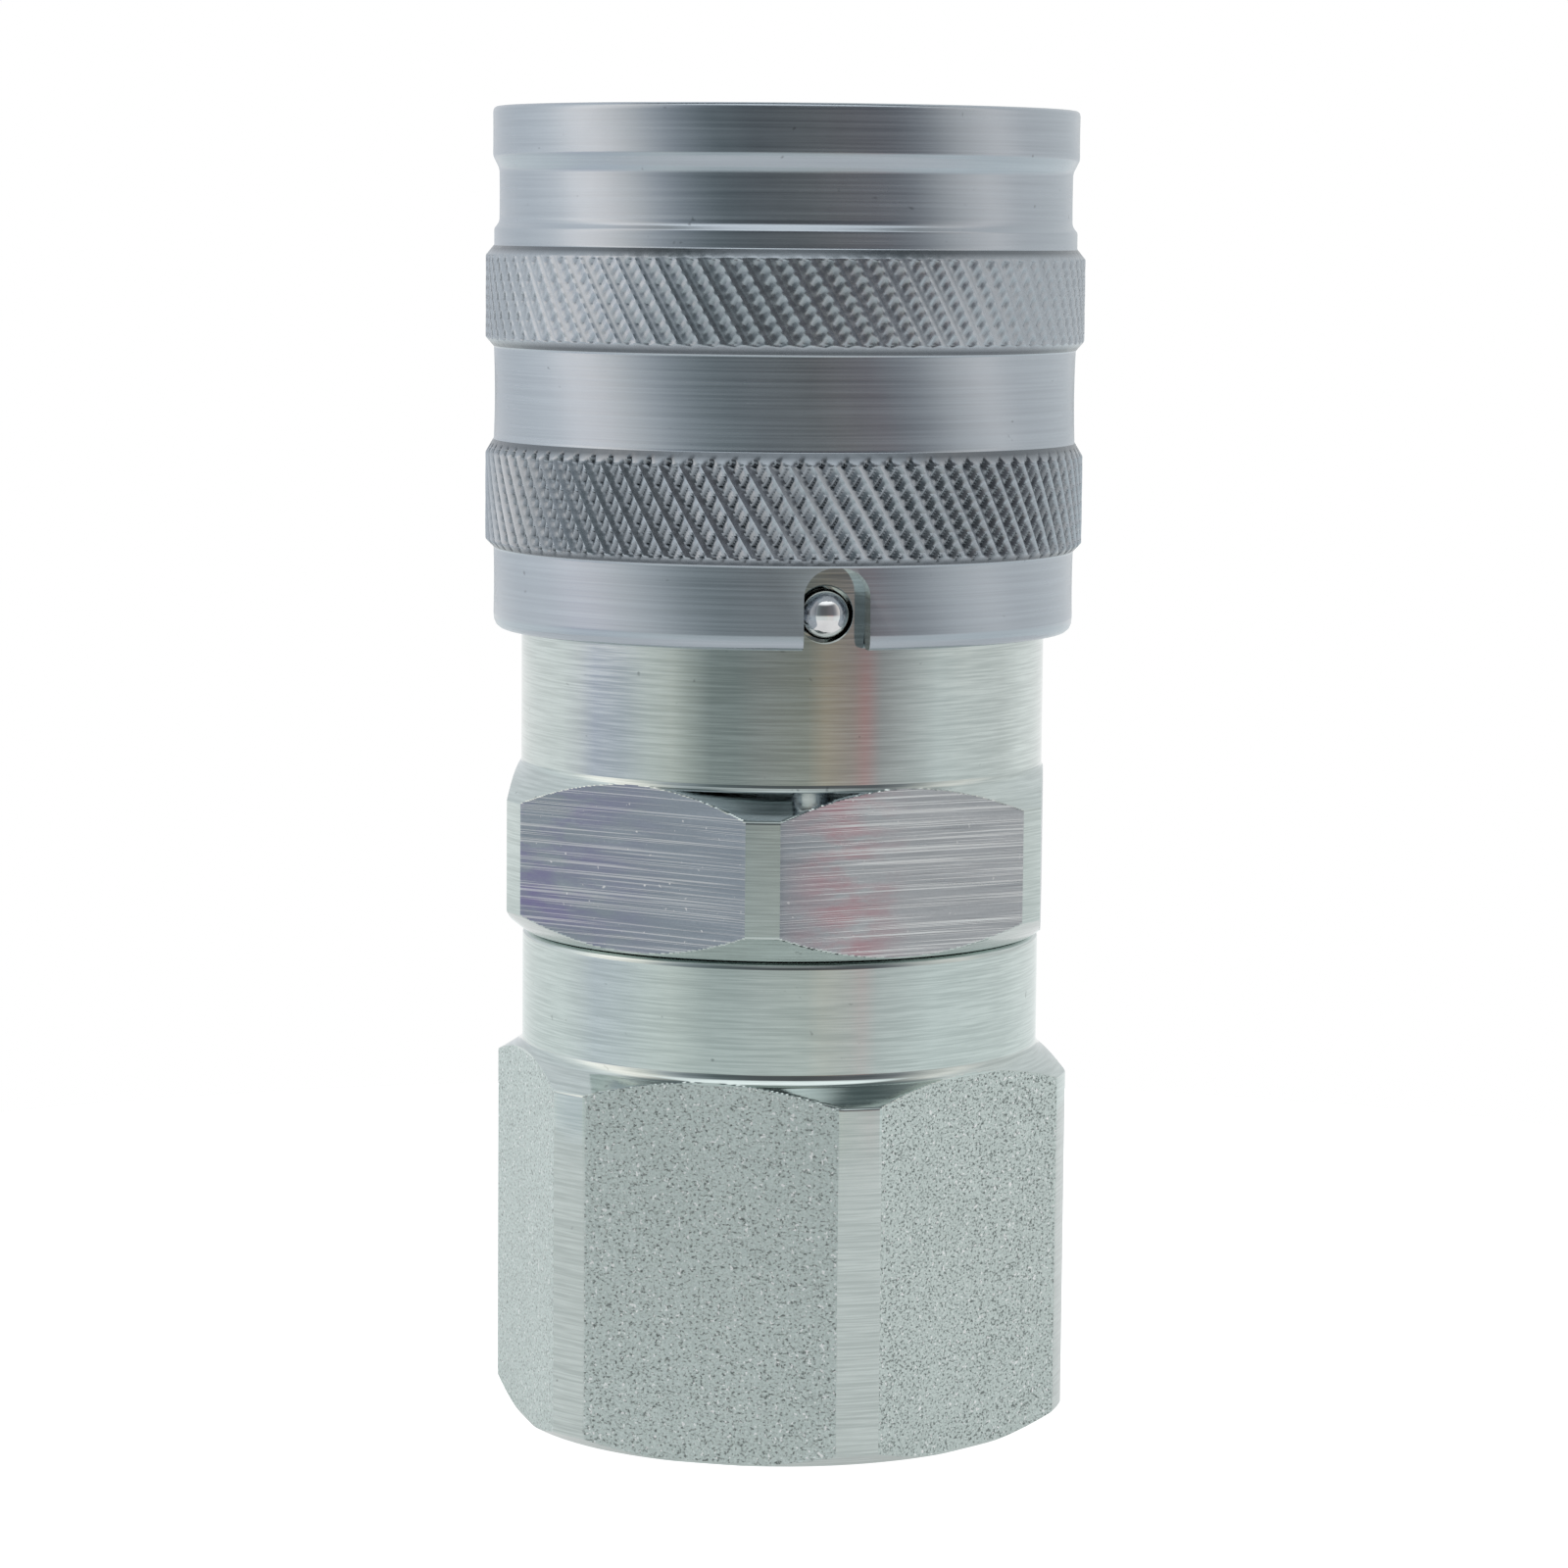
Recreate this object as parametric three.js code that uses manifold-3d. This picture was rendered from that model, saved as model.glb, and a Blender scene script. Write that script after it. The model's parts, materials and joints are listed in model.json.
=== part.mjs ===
// Flat-face hydraulic quick disconnect coupler, female half, size 19 (3/4 in body), uncoupled.
// Millimetres, +Z up. The origin is on the coupler's axis at the port face that it stands on.
// Angles about the axis are measured from -Y towards +X, the way a LatheGeometry turns.
import * as THREE from "three";
import { mergeVertices } from "three/addons/utils/BufferGeometryUtils.js";
import Module from "manifold-3d";

const wasm = await Module();
wasm.setup();

// ---------------------------------------------------------------- driving dimensions
const TURN_STEPS = 30; // facets round every turned piece
const FINE = 0.05; // gap of a seal to the metal round it
const SLIDING = 0.15; // radial gap of a sliding fit

// Rear adapter and valve body, outside
const HEX_ACROSS_FLATS = 41;
const FOOT_R = 20.7; // chamfered edge of the port face
const FOOT_CHAMFER_Z = 1.2;
const ADAPTER_CORNER_R = 22.8; // the hexagon's corners are turned down to this
const ADAPTER_HEX_TOP = 27.7;
const ADAPTER_HEX_TURN = 15.65; // angle of one corner, degrees
const ADAPTER_CONE_TOP = 29.6;
const COLLAR_R = 20.25;
const PARTING_Z = 38.4; // where the adapter's collar meets the valve body
const BODY_END = PARTING_Z + 0.1;
const BODY_END_R = 20.3;
const BODY_CORNER_R = 22.95;
const BODY_HEX_Z = [40.6, 49.3];
const BODY_HEX_TURN = -3.2;
const BODY_R = 20.4; // the barrel that the sleeve's skirt slides on
const BODY_CONE_TOP = 51.45;
const BARREL_TOP = 70;
const NOSE_R = 18.75;
const NOSE_TOP = 101.9;

// Port: 3/4 in parallel thread, left at its minor diameter
const PORT_R = 12.06;
const PORT_DEPTH = 20;
const PORT_MOUTH_R = 13.4;
const PORT_MOUTH_Z = 1.3;

// Bores
const NOSE_BORE_R = 15.1; // takes the mating nipple's 30 mm nose
const NOSE_BORE_END = 85.5;
const CHAMBER_R = 16.6; // spring chamber behind the nose bore
const SEAT_TOP = 57.9; // spring seat's upper face, under a shoulder of the body
const THREAD_R = 17.35; // body's rear bore
const SPIGOT_R = 17.2;
const SPIGOT_TOP = 51.9;
const SPIGOT_CHAMFER = 0.6;
const JOINT_GROOVE_R = 16.3; // the adapter's neck inside the joint seal
const JOINT_GROOVE_TOP = 40.7;
const JOINT_BORE_R = 18.25; // the body's end round the joint seal
const NOSE_SEAL_GROOVE = { r: 17.2, z: [88, 92.1] };
const SPIDER_Z = [28.05, 33.1];
const SPIDER_R = 13.95;
const ADAPTER_BORE_R = 14.1;
const PASSAGE_R = 11.5;

// Locking balls and sleeve
const BALL_R = 2.38; // 3/16 in ball
const BALL_COUNT = 12;
const BALL_Z = 95.9;
const BALL_CIRCLE_R = 17.35; // held out by the closing ring
const POCKET_R = BALL_R + 0.12;
const POCKET_NECK_R = 2.1; // at the bore, so that a ball can't fall through
const SNAP_GROOVE = { r: 17.9, z: [99.45, 100.75] };
const SNAP_RING = { inner: 18.1, outer: 19.75, z: [99.5, 100.7], halfGap: 12 };
const WASHER = { inner: 19, outer: 20.4, z: [88.25, 89.25] };
const SLEEVE_Z = [62, 102.2];
const KNURL_R = 23.25;
const BAND_R = 22.6;
const RIM_R = 22.7;
const GRIP_GROOVE_R = 22.2;
const SKIRT_BORE_R = BODY_R + SLIDING;
const LOCK_LAND_R = 18.95; // covers the balls when the sleeve is forward
const RELEASE_R = 19.95; // room for the balls when the sleeve is back
const LAND_Z = [89.35, 93.98];
const REAR_KNURL_Z = [68.25, 68.9, 75.6, 76.7]; // foot and top of each side's chamfer
const FRONT_KNURL_Z = [83.75, 84.5, 90.8, 91.6];
const GRIP_GROOVE_Z = [92.85, 93.35, 97.4, 98.4];

// Sleeve lock: a staked ball in a notch of the skirt
const LOCK_BALL_R = 2;
const LOCK_BALL_TURN = 9;
const LOCK_BALL_CIRCLE_R = 19.8;
const LOCK_BALL_Z = 64.6;
const NOTCH_TURN = 10.4;
const NOTCH_HALF_WIDTH = 2.5;
const NOTCH_CORNER_R = 2.2;
const NOTCH_TOP = 68.15;

// Flat face: closing ring, valve sleeve and stem head end level with each other
const FACE_Z = 101.8;
const CLOSING_RING_R = NOSE_BORE_R - SLIDING;
const CLOSING_RING_BORE = 12.75;
const CLOSING_RING_FLANGE = { r: 16.4, z: [83.7, 85.4] };
const VALVE_R = CLOSING_RING_BORE - SLIDING;
const VALVE_SHOULDER_Z = 83;
const VALVE_TAIL_R = 11.2;
const VALVE_TAIL_END = 48.5;
const VALVE_BORE_R = 9.9;
const VALVE_SEAT_R = 9.65;
const VALVE_SEAT_Z = [93, 93.6]; // the taper behind the seat
const STEM_HEAD_R = 9.5;
const STEM_HEAD_Z = [88.5, 94.5]; // the head's rear cone
const STEM_GROOVE = { r: 7.85, z: [96.7, 98.7] };
const SHANK_R = 4.2;
const STEM_COLLAR = { r: 6, z: [36, 37.5] };
const STEM_THREAD_R = 3.95;
const STEM_END = 21.5;

// Stem's supports
const STEM_HOLE_R = 4.1;
const NUT_ACROSS_FLATS = 13;
const NUT_HEIGHT = 5.6;
const SPIDER_HOLES = 8;
const SPIDER_HOLE_R = 2.5;
const SPIDER_HOLE_CIRCLE_R = 8.9;
const SEAT_R = 17.25;
const SEAT_SKIRT_R = [12.3, 13.95]; // inside and outside
const SEAT_GROOVE = { r: 15.6, z: [54, 56.4] }; // for the seal to the body
const TAIL_GROOVE = { r: 13.3, z: [53.4, 56.6] }; // for the seal to the valve sleeve's tail

// Springs
const SLEEVE_SPRING = { radius: 19.65, wireR: 0.6, z: [BARREL_TOP, WASHER.z[0]], turns: 5 };
const RING_SPRING = { radius: 15.55, wireR: 0.7, z: [SEAT_TOP, CLOSING_RING_FLANGE.z[0]], turns: 5 };
const VALVE_SPRING = { radius: 11.95, wireR: 0.5, z: [SEAT_TOP, VALVE_SHOULDER_Z], turns: 6 };

// Seals and their backup rings: inner radius, outer radius, bottom, top
const SEALS = {
  stem_head_seal: [STEM_GROOVE.r + FINE, 9.6, 96.8, 98.6],
  nose_seal: [15.02, 17.12, 88.1, 90.7],
  valve_tail_seal: [VALVE_TAIL_R + FINE, 13.2, 53.5, 55.6],
  spring_seat_seal: [SEAT_GROOVE.r + FINE, 17.3, 54.1, 56.3],
  body_joint_seal: [JOINT_GROOVE_R + 0.1, JOINT_BORE_R - 0.1, 38.55, 40.6],
};
const BACKUP_RINGS = {
  nose_backup_ring: [15.02, 17.12, 90.8, 92],
  valve_tail_backup_ring: [VALVE_TAIL_R + FINE, 13.2, 55.7, 56.5],
};

// ---------------------------------------------------------------- materials
function metal(color, roughness) {
  return new THREE.MeshStandardMaterial({ color, roughness, metalness: 1 });
}
const zincNickel = metal(0x8d9299, 0.42);
const brightZinc = metal(0xb9c3c2, 0.3);
const steel = metal(0xa9abad, 0.3);
const ballSteel = metal(0xd8dadc, 0.08);
const springSteel = metal(0x6e6f72, 0.4);
const rubber = new THREE.MeshStandardMaterial({ color: 0x16161a, roughness: 0.7 });
const ptfe = new THREE.MeshStandardMaterial({ color: 0xe8e4da, roughness: 0.5 });

// ---------------------------------------------------------------- geometry helpers
const rad = THREE.MathUtils.degToRad;
const WHOLE_HEIGHT = [-1, NOSE_TOP + 1];

// A closed outline of [radius, z] pairs turned about the Z axis.
function turned(outline, steps = TURN_STEPS) {
  const points = outline.map(([r, z]) => new THREE.Vector2(r, z));
  points.push(points[0].clone());
  return new THREE.LatheGeometry(points, steps).rotateX(Math.PI / 2);
}

// A plain ring with a rectangular section.
function ring(inner, outer, bottom, top) {
  return turned([
    [inner, bottom],
    [outer, bottom],
    [outer, top],
    [inner, top],
  ]);
}

function solidOf(geometry) {
  const bare = geometry.clone();
  bare.deleteAttribute("normal");
  bare.deleteAttribute("uv");
  const merged = mergeVertices(bare, 1e-4);
  return new wasm.Manifold(
    new wasm.Mesh({
      numProp: 3,
      vertProperties: merged.attributes.position.array,
      triVerts: new Uint32Array(merged.index.array),
    }),
  );
}

function geometryOf(solid) {
  const { vertProperties, triVerts } = solid.getMesh();
  const geometry = new THREE.BufferGeometry();
  geometry.setAttribute("position", new THREE.BufferAttribute(vertProperties, 3));
  geometry.setIndex(new THREE.BufferAttribute(triVerts, 1));
  geometry.computeVertexNormals();
  return geometry;
}

// A hexagonal prism with one corner at the given angle from -Y.
function hexPrism(acrossFlats, [bottom, top], turn) {
  const cornerR = acrossFlats / 2 / Math.cos(rad(30));
  return new THREE.CylinderGeometry(cornerR, cornerR, top - bottom, 6)
    .rotateX(Math.PI / 2)
    .rotateZ(rad(turn))
    .translate(0, 0, (bottom + top) / 2);
}

// Turns a shape made along -Y, at the front, to its place round the axis.
function placed(geometry, turn, z) {
  return geometry.rotateZ(rad(turn)).translate(0, 0, z);
}

// A drill along -Y with the outline [radius, distance from the axis].
function drill(outline) {
  const steps = 12;
  return turned(outline, steps).rotateX(Math.PI / 2);
}

// A round-wire compression spring with a closed coil at each end.
class SpringPath extends THREE.Curve {
  constructor(radius, low, high, turns, wire) {
    super();
    Object.assign(this, { radius, low, high, turns, wire });
  }
  getPoint(t, target = new THREE.Vector3()) {
    const turn = t * this.turns;
    const closed = this.wire * 1.05; // rise of the closed coil at each end
    const open = (this.high - this.low - 2 * closed) / (this.turns - 2);
    const rise =
      Math.min(turn, 1) * closed +
      THREE.MathUtils.clamp(turn - 1, 0, this.turns - 2) * open +
      Math.max(turn - this.turns + 1, 0) * closed;
    const angle = turn * 2 * Math.PI;
    return target.set(
      this.radius * Math.sin(angle),
      -this.radius * Math.cos(angle),
      this.low + rise,
    );
  }
}

function spring({ radius, wireR, z, turns }) {
  const sides = 5;
  const stepsPerTurn = 20;
  const section = new THREE.Shape();
  for (let i = 0; i < sides; i += 1) {
    const a = (i / sides) * 2 * Math.PI;
    const point = [wireR * Math.cos(a), wireR * Math.sin(a)];
    if (i) section.lineTo(...point);
    else section.moveTo(...point);
  }
  const clear = wireR + FINE;
  return new THREE.ExtrudeGeometry(section, {
    steps: Math.round(turns * stepsPerTurn),
    extrudePath: new SpringPath(radius, z[0] + clear, z[1] - clear, turns, 2 * wireR),
  });
}

// ---------------------------------------------------------------- casings
function rearAdapter() {
  const blank = turned([
    [FOOT_R, 0],
    [ADAPTER_CORNER_R, FOOT_CHAMFER_Z],
    [ADAPTER_CORNER_R, ADAPTER_HEX_TOP],
    [COLLAR_R, ADAPTER_CONE_TOP],
    [COLLAR_R, PARTING_Z],
    [JOINT_GROOVE_R, PARTING_Z],
    [JOINT_GROOVE_R, JOINT_GROOVE_TOP],
    [SPIGOT_R, JOINT_GROOVE_TOP + 0.5],
    [SPIGOT_R, SPIGOT_TOP - SPIGOT_CHAMFER],
    [SPIGOT_R - SPIGOT_CHAMFER, SPIGOT_TOP],
    [ADAPTER_BORE_R, SPIGOT_TOP],
    [ADAPTER_BORE_R, SPIDER_Z[0] - FINE],
    [PASSAGE_R, SPIDER_Z[0] - FINE],
    [PASSAGE_R, PORT_DEPTH],
    [PORT_R, PORT_DEPTH],
    [PORT_R, PORT_MOUTH_Z],
    [PORT_MOUTH_R, 0],
  ]);
  const hexZone = solidOf(hexPrism(HEX_ACROSS_FLATS, WHOLE_HEIGHT, ADAPTER_HEX_TURN));
  return geometryOf(solidOf(blank).intersect(hexZone));
}

function valveBody() {
  const blank = turned([
    [BODY_END_R, BODY_END],
    [BODY_CORNER_R, BODY_HEX_Z[0]],
    [BODY_CORNER_R, BODY_HEX_Z[1]],
    [BODY_R, BODY_CONE_TOP],
    [BODY_R, BARREL_TOP],
    [NOSE_R, BARREL_TOP],
    [NOSE_R, SNAP_GROOVE.z[0]],
    [SNAP_GROOVE.r, SNAP_GROOVE.z[0]],
    [SNAP_GROOVE.r, SNAP_GROOVE.z[1]],
    [NOSE_R, SNAP_GROOVE.z[1]],
    [NOSE_R, NOSE_TOP - 0.4],
    [NOSE_R - 0.4, NOSE_TOP],
    [NOSE_BORE_R + 0.5, NOSE_TOP],
    [NOSE_BORE_R, NOSE_TOP - 0.7],
    [NOSE_BORE_R, NOSE_SEAL_GROOVE.z[1]],
    [NOSE_SEAL_GROOVE.r, NOSE_SEAL_GROOVE.z[1]],
    [NOSE_SEAL_GROOVE.r, NOSE_SEAL_GROOVE.z[0]],
    [NOSE_BORE_R, NOSE_SEAL_GROOVE.z[0]],
    [NOSE_BORE_R, NOSE_BORE_END],
    [CHAMBER_R, NOSE_BORE_END],
    [CHAMBER_R, SEAT_TOP + 0.1],
    [THREAD_R, SEAT_TOP + 0.1],
    [THREAD_R, JOINT_GROOVE_TOP + 0.1],
    [JOINT_BORE_R, JOINT_GROOVE_TOP + 0.1],
    [JOINT_BORE_R, BODY_END],
  ]);
  const hexZone = solidOf(hexPrism(HEX_ACROSS_FLATS, WHOLE_HEIGHT, BODY_HEX_TURN));
  let body = solidOf(blank).intersect(hexZone);

  for (let i = 0; i < BALL_COUNT; i += 1) {
    const pocket = drill([
      [0, NOSE_BORE_R - 1],
      [POCKET_NECK_R, NOSE_BORE_R - 1],
      [POCKET_NECK_R, NOSE_BORE_R + 0.2],
      [POCKET_R, NOSE_BORE_R + 0.9],
      [POCKET_R, NOSE_R + 1],
      [0, NOSE_R + 1],
    ]);
    body = body.subtract(solidOf(placed(pocket, (i * 360) / BALL_COUNT, BALL_Z)));
  }
  const pocketEnd = LOCK_BALL_CIRCLE_R - LOCK_BALL_R - 0.1;
  const lockPocket = drill([
    [0, pocketEnd],
    [LOCK_BALL_R + 0.1, pocketEnd],
    [LOCK_BALL_R + 0.1, BODY_R + 1],
    [0, BODY_R + 1],
  ]);
  body = body.subtract(solidOf(placed(lockPocket, LOCK_BALL_TURN, LOCK_BALL_Z)));
  return geometryOf(body);
}

function lockingSleeve() {
  const rearRound = 1;
  const blank = turned([
    [SKIRT_BORE_R, SLEEVE_Z[0]],
    [BAND_R - rearRound, SLEEVE_Z[0]],
    [BAND_R - 0.3 * rearRound, SLEEVE_Z[0] + 0.3 * rearRound],
    [BAND_R, SLEEVE_Z[0] + rearRound],
    [BAND_R, REAR_KNURL_Z[0]],
    [KNURL_R, REAR_KNURL_Z[1]],
    [KNURL_R, REAR_KNURL_Z[2]],
    [BAND_R, REAR_KNURL_Z[3]],
    [BAND_R, FRONT_KNURL_Z[0]],
    [KNURL_R, FRONT_KNURL_Z[1]],
    [KNURL_R, FRONT_KNURL_Z[2]],
    [BAND_R, FRONT_KNURL_Z[3]],
    [BAND_R, GRIP_GROOVE_Z[0]],
    [GRIP_GROOVE_R, GRIP_GROOVE_Z[1]],
    [GRIP_GROOVE_R, GRIP_GROOVE_Z[2]],
    [RIM_R, GRIP_GROOVE_Z[3]],
    [RIM_R, SLEEVE_Z[1] - 0.5],
    [RIM_R - 0.5, SLEEVE_Z[1]],
    [RELEASE_R + 0.4, SLEEVE_Z[1]],
    [RELEASE_R, SLEEVE_Z[1] - 0.4],
    [RELEASE_R, LAND_Z[1] + RELEASE_R - LOCK_LAND_R],
    [LOCK_LAND_R, LAND_Z[1]],
    [LOCK_LAND_R, LAND_Z[0]],
    [SKIRT_BORE_R, LAND_Z[0]],
  ]);
  const cornerZ = NOTCH_TOP - NOTCH_CORNER_R;
  const cornerX = NOTCH_HALF_WIDTH - NOTCH_CORNER_R;
  const outline = new THREE.Shape()
    .moveTo(-NOTCH_HALF_WIDTH, SLEEVE_Z[0] - 1)
    .lineTo(NOTCH_HALF_WIDTH, SLEEVE_Z[0] - 1)
    .absarc(cornerX, cornerZ, NOTCH_CORNER_R, 0, Math.PI / 2, false)
    .absarc(-cornerX, cornerZ, NOTCH_CORNER_R, Math.PI / 2, Math.PI, false);
  const notch = new THREE.ExtrudeGeometry(outline, {
    depth: KNURL_R,
    bevelEnabled: false,
    curveSegments: 6,
  })
    .rotateX(Math.PI / 2)
    .translate(0, -LOCK_LAND_R, 0);
  return geometryOf(solidOf(blank).subtract(solidOf(placed(notch, NOTCH_TURN, 0))));
}

// ---------------------------------------------------------------- sleeve's small parts
// An open snap ring, with its gap at the back.
function retainingRing() {
  const { inner, outer, z } = SNAP_RING;
  const start = rad(90 + SNAP_RING.halfGap);
  const end = rad(450 - SNAP_RING.halfGap);
  const outline = new THREE.Shape()
    .absarc(0, 0, outer, start, end, false)
    .absarc(0, 0, inner, end, start, true);
  return new THREE.ExtrudeGeometry(outline, {
    depth: z[1] - z[0],
    bevelEnabled: false,
    curveSegments: TURN_STEPS,
  }).translate(0, 0, z[0]);
}

function ball(radius, circleR, turn, z) {
  const sphere = new THREE.SphereGeometry(radius, 10, 6).translate(0, -circleR, 0);
  return placed(sphere, turn, z);
}

// ---------------------------------------------------------------- valve and its supports
function closingRing() {
  const { r, z } = CLOSING_RING_FLANGE;
  return turned([
    [CLOSING_RING_BORE, z[0]],
    [r, z[0]],
    [r, z[1]],
    [CLOSING_RING_R, z[1]],
    [CLOSING_RING_R, FACE_Z - 0.3],
    [CLOSING_RING_R - 0.3, FACE_Z],
    [CLOSING_RING_BORE, FACE_Z],
  ]);
}

function valveSleeve() {
  return turned([
    [VALVE_BORE_R, VALVE_TAIL_END],
    [VALVE_TAIL_R - 0.3, VALVE_TAIL_END],
    [VALVE_TAIL_R, VALVE_TAIL_END + 0.6],
    [VALVE_TAIL_R, VALVE_SHOULDER_Z],
    [VALVE_R, VALVE_SHOULDER_Z],
    [VALVE_R, FACE_Z],
    [VALVE_SEAT_R, FACE_Z],
    [VALVE_SEAT_R, VALVE_SEAT_Z[1]],
    [VALVE_BORE_R, VALVE_SEAT_Z[0]],
  ]);
}

function valveStem() {
  const { r, z } = STEM_GROOVE;
  const seated = SPIDER_Z[1] + FINE;
  return turned([
    [0, STEM_END],
    [STEM_THREAD_R - 0.45, STEM_END],
    [STEM_THREAD_R, STEM_END + 0.5],
    [STEM_THREAD_R, seated],
    [STEM_COLLAR.r, seated],
    [STEM_COLLAR.r, STEM_COLLAR.z[0]],
    [SHANK_R, STEM_COLLAR.z[1]],
    [SHANK_R, STEM_HEAD_Z[0]],
    [STEM_HEAD_R, STEM_HEAD_Z[1]],
    [STEM_HEAD_R, z[0]],
    [r, z[0]],
    [r, z[1]],
    [STEM_HEAD_R, z[1]],
    [STEM_HEAD_R, FACE_Z],
    [0, FACE_Z],
  ]);
}

function stemNut() {
  const top = SPIDER_Z[0] - FINE;
  const blank = solidOf(hexPrism(NUT_ACROSS_FLATS, [top - NUT_HEIGHT, top], 0));
  const hole = new THREE.CylinderGeometry(STEM_HOLE_R, STEM_HOLE_R, 20, 24)
    .rotateX(Math.PI / 2)
    .translate(0, 0, top);
  return geometryOf(blank.subtract(solidOf(hole)));
}

// A disc that holds the stem on the axis and lets the oil past through its holes.
function stemSpider() {
  let disc = solidOf(ring(STEM_HOLE_R, SPIDER_R, ...SPIDER_Z));
  for (let i = 0; i < SPIDER_HOLES; i += 1) {
    const hole = new THREE.CylinderGeometry(SPIDER_HOLE_R, SPIDER_HOLE_R, 20, 12)
      .rotateX(Math.PI / 2)
      .translate(0, -SPIDER_HOLE_CIRCLE_R, 0);
    const turn = (i * 360) / SPIDER_HOLES;
    disc = disc.subtract(solidOf(placed(hole, turn, SPIDER_Z[0])));
  }
  return geometryOf(disc);
}

// Guides the valve sleeve's tail, carries both inner springs, and its skirt clamps the spider.
function springSeat() {
  const bottom = SPIGOT_TOP + 0.1;
  const guideR = VALVE_TAIL_R + SLIDING;
  return turned([
    [SEAT_SKIRT_R[0], SPIDER_Z[1] + FINE],
    [SEAT_SKIRT_R[1], SPIDER_Z[1] + FINE],
    [SEAT_SKIRT_R[1], bottom],
    [SEAT_R, bottom],
    [SEAT_R, SEAT_GROOVE.z[0]],
    [SEAT_GROOVE.r, SEAT_GROOVE.z[0]],
    [SEAT_GROOVE.r, SEAT_GROOVE.z[1]],
    [SEAT_R, SEAT_GROOVE.z[1]],
    [SEAT_R, SEAT_TOP],
    [guideR, SEAT_TOP],
    [guideR, TAIL_GROOVE.z[1]],
    [TAIL_GROOVE.r, TAIL_GROOVE.z[1]],
    [TAIL_GROOVE.r, TAIL_GROOVE.z[0]],
    [guideR, TAIL_GROOVE.z[0]],
    [guideR, bottom],
    [SEAT_SKIRT_R[0], bottom],
  ]);
}

// ---------------------------------------------------------------- assembly
const coupler = new THREE.Group();

function add(name, geometry, material) {
  const mesh = new THREE.Mesh(geometry, material);
  mesh.name = name;
  coupler.add(mesh);
}

add("rear_adapter", rearAdapter(), brightZinc);
add("valve_body", valveBody(), brightZinc);
add("locking_sleeve", lockingSleeve(), zincNickel);

add("sleeve_spring", spring(SLEEVE_SPRING), springSteel);
add("sleeve_thrust_washer", ring(WASHER.inner, WASHER.outer, ...WASHER.z), steel);
add("sleeve_retaining_ring", retainingRing(), springSteel);
add(
  "sleeve_lock_ball",
  ball(LOCK_BALL_R, LOCK_BALL_CIRCLE_R, LOCK_BALL_TURN, LOCK_BALL_Z),
  ballSteel,
);
for (let i = 0; i < BALL_COUNT; i += 1) {
  const name = `locking_ball_${String(i + 1).padStart(2, "0")}`;
  add(name, ball(BALL_R, BALL_CIRCLE_R, (i * 360) / BALL_COUNT, BALL_Z), ballSteel);
}

add("front_closing_ring", closingRing(), steel);
add("closing_ring_spring", spring(RING_SPRING), springSteel);
add("valve_sleeve", valveSleeve(), steel);
add("valve_spring", spring(VALVE_SPRING), springSteel);
add("valve_stem", valveStem(), steel);
add("stem_nut", stemNut(), steel);
add("stem_spider", stemSpider(), steel);
add("spring_seat", springSeat(), steel);

for (const [name, size] of Object.entries(SEALS)) add(name, ring(...size), rubber);
for (const [name, size] of Object.entries(BACKUP_RINGS)) add(name, ring(...size), ptfe);

export default coupler;
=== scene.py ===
"""Looks of the flat-face quick disconnect coupler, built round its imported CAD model.

Outlines are in millimetres from a node's own lowest point, and become metres in the mesh.
Angles about the axis are measured from -Y towards +X, as in the CAD model.
"""

import json
import math

import bmesh
import bpy
import numpy as np
from mathutils import Matrix, Vector

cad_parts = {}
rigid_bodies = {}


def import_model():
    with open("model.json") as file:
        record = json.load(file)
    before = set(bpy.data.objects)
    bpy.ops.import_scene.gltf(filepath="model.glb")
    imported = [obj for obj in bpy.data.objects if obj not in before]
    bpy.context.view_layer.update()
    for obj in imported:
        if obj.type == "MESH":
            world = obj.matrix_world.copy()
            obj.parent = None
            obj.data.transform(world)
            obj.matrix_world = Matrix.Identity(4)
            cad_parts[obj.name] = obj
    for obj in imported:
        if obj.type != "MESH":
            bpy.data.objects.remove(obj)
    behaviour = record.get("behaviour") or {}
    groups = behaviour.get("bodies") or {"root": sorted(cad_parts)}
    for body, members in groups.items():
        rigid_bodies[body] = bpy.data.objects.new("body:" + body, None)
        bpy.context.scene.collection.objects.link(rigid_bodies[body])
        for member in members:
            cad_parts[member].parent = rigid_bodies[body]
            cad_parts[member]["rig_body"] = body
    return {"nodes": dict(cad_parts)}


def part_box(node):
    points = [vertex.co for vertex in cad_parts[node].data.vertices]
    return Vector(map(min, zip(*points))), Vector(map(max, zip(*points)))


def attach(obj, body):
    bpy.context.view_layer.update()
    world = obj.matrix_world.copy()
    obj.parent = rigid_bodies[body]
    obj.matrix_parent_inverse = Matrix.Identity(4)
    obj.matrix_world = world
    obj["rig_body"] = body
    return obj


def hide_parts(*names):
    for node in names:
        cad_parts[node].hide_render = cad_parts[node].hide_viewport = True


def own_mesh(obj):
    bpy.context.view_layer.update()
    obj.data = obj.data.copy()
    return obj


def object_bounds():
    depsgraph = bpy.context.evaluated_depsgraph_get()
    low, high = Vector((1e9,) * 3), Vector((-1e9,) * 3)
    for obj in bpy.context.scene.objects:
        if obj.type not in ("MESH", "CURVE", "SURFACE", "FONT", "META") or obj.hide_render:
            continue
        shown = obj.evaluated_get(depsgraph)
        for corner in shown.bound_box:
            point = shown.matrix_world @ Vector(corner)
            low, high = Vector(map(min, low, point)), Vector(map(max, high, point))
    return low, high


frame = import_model()
cad_low, cad_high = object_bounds()

MM = 0.001
FULL_TURN = 2 * math.pi

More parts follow.
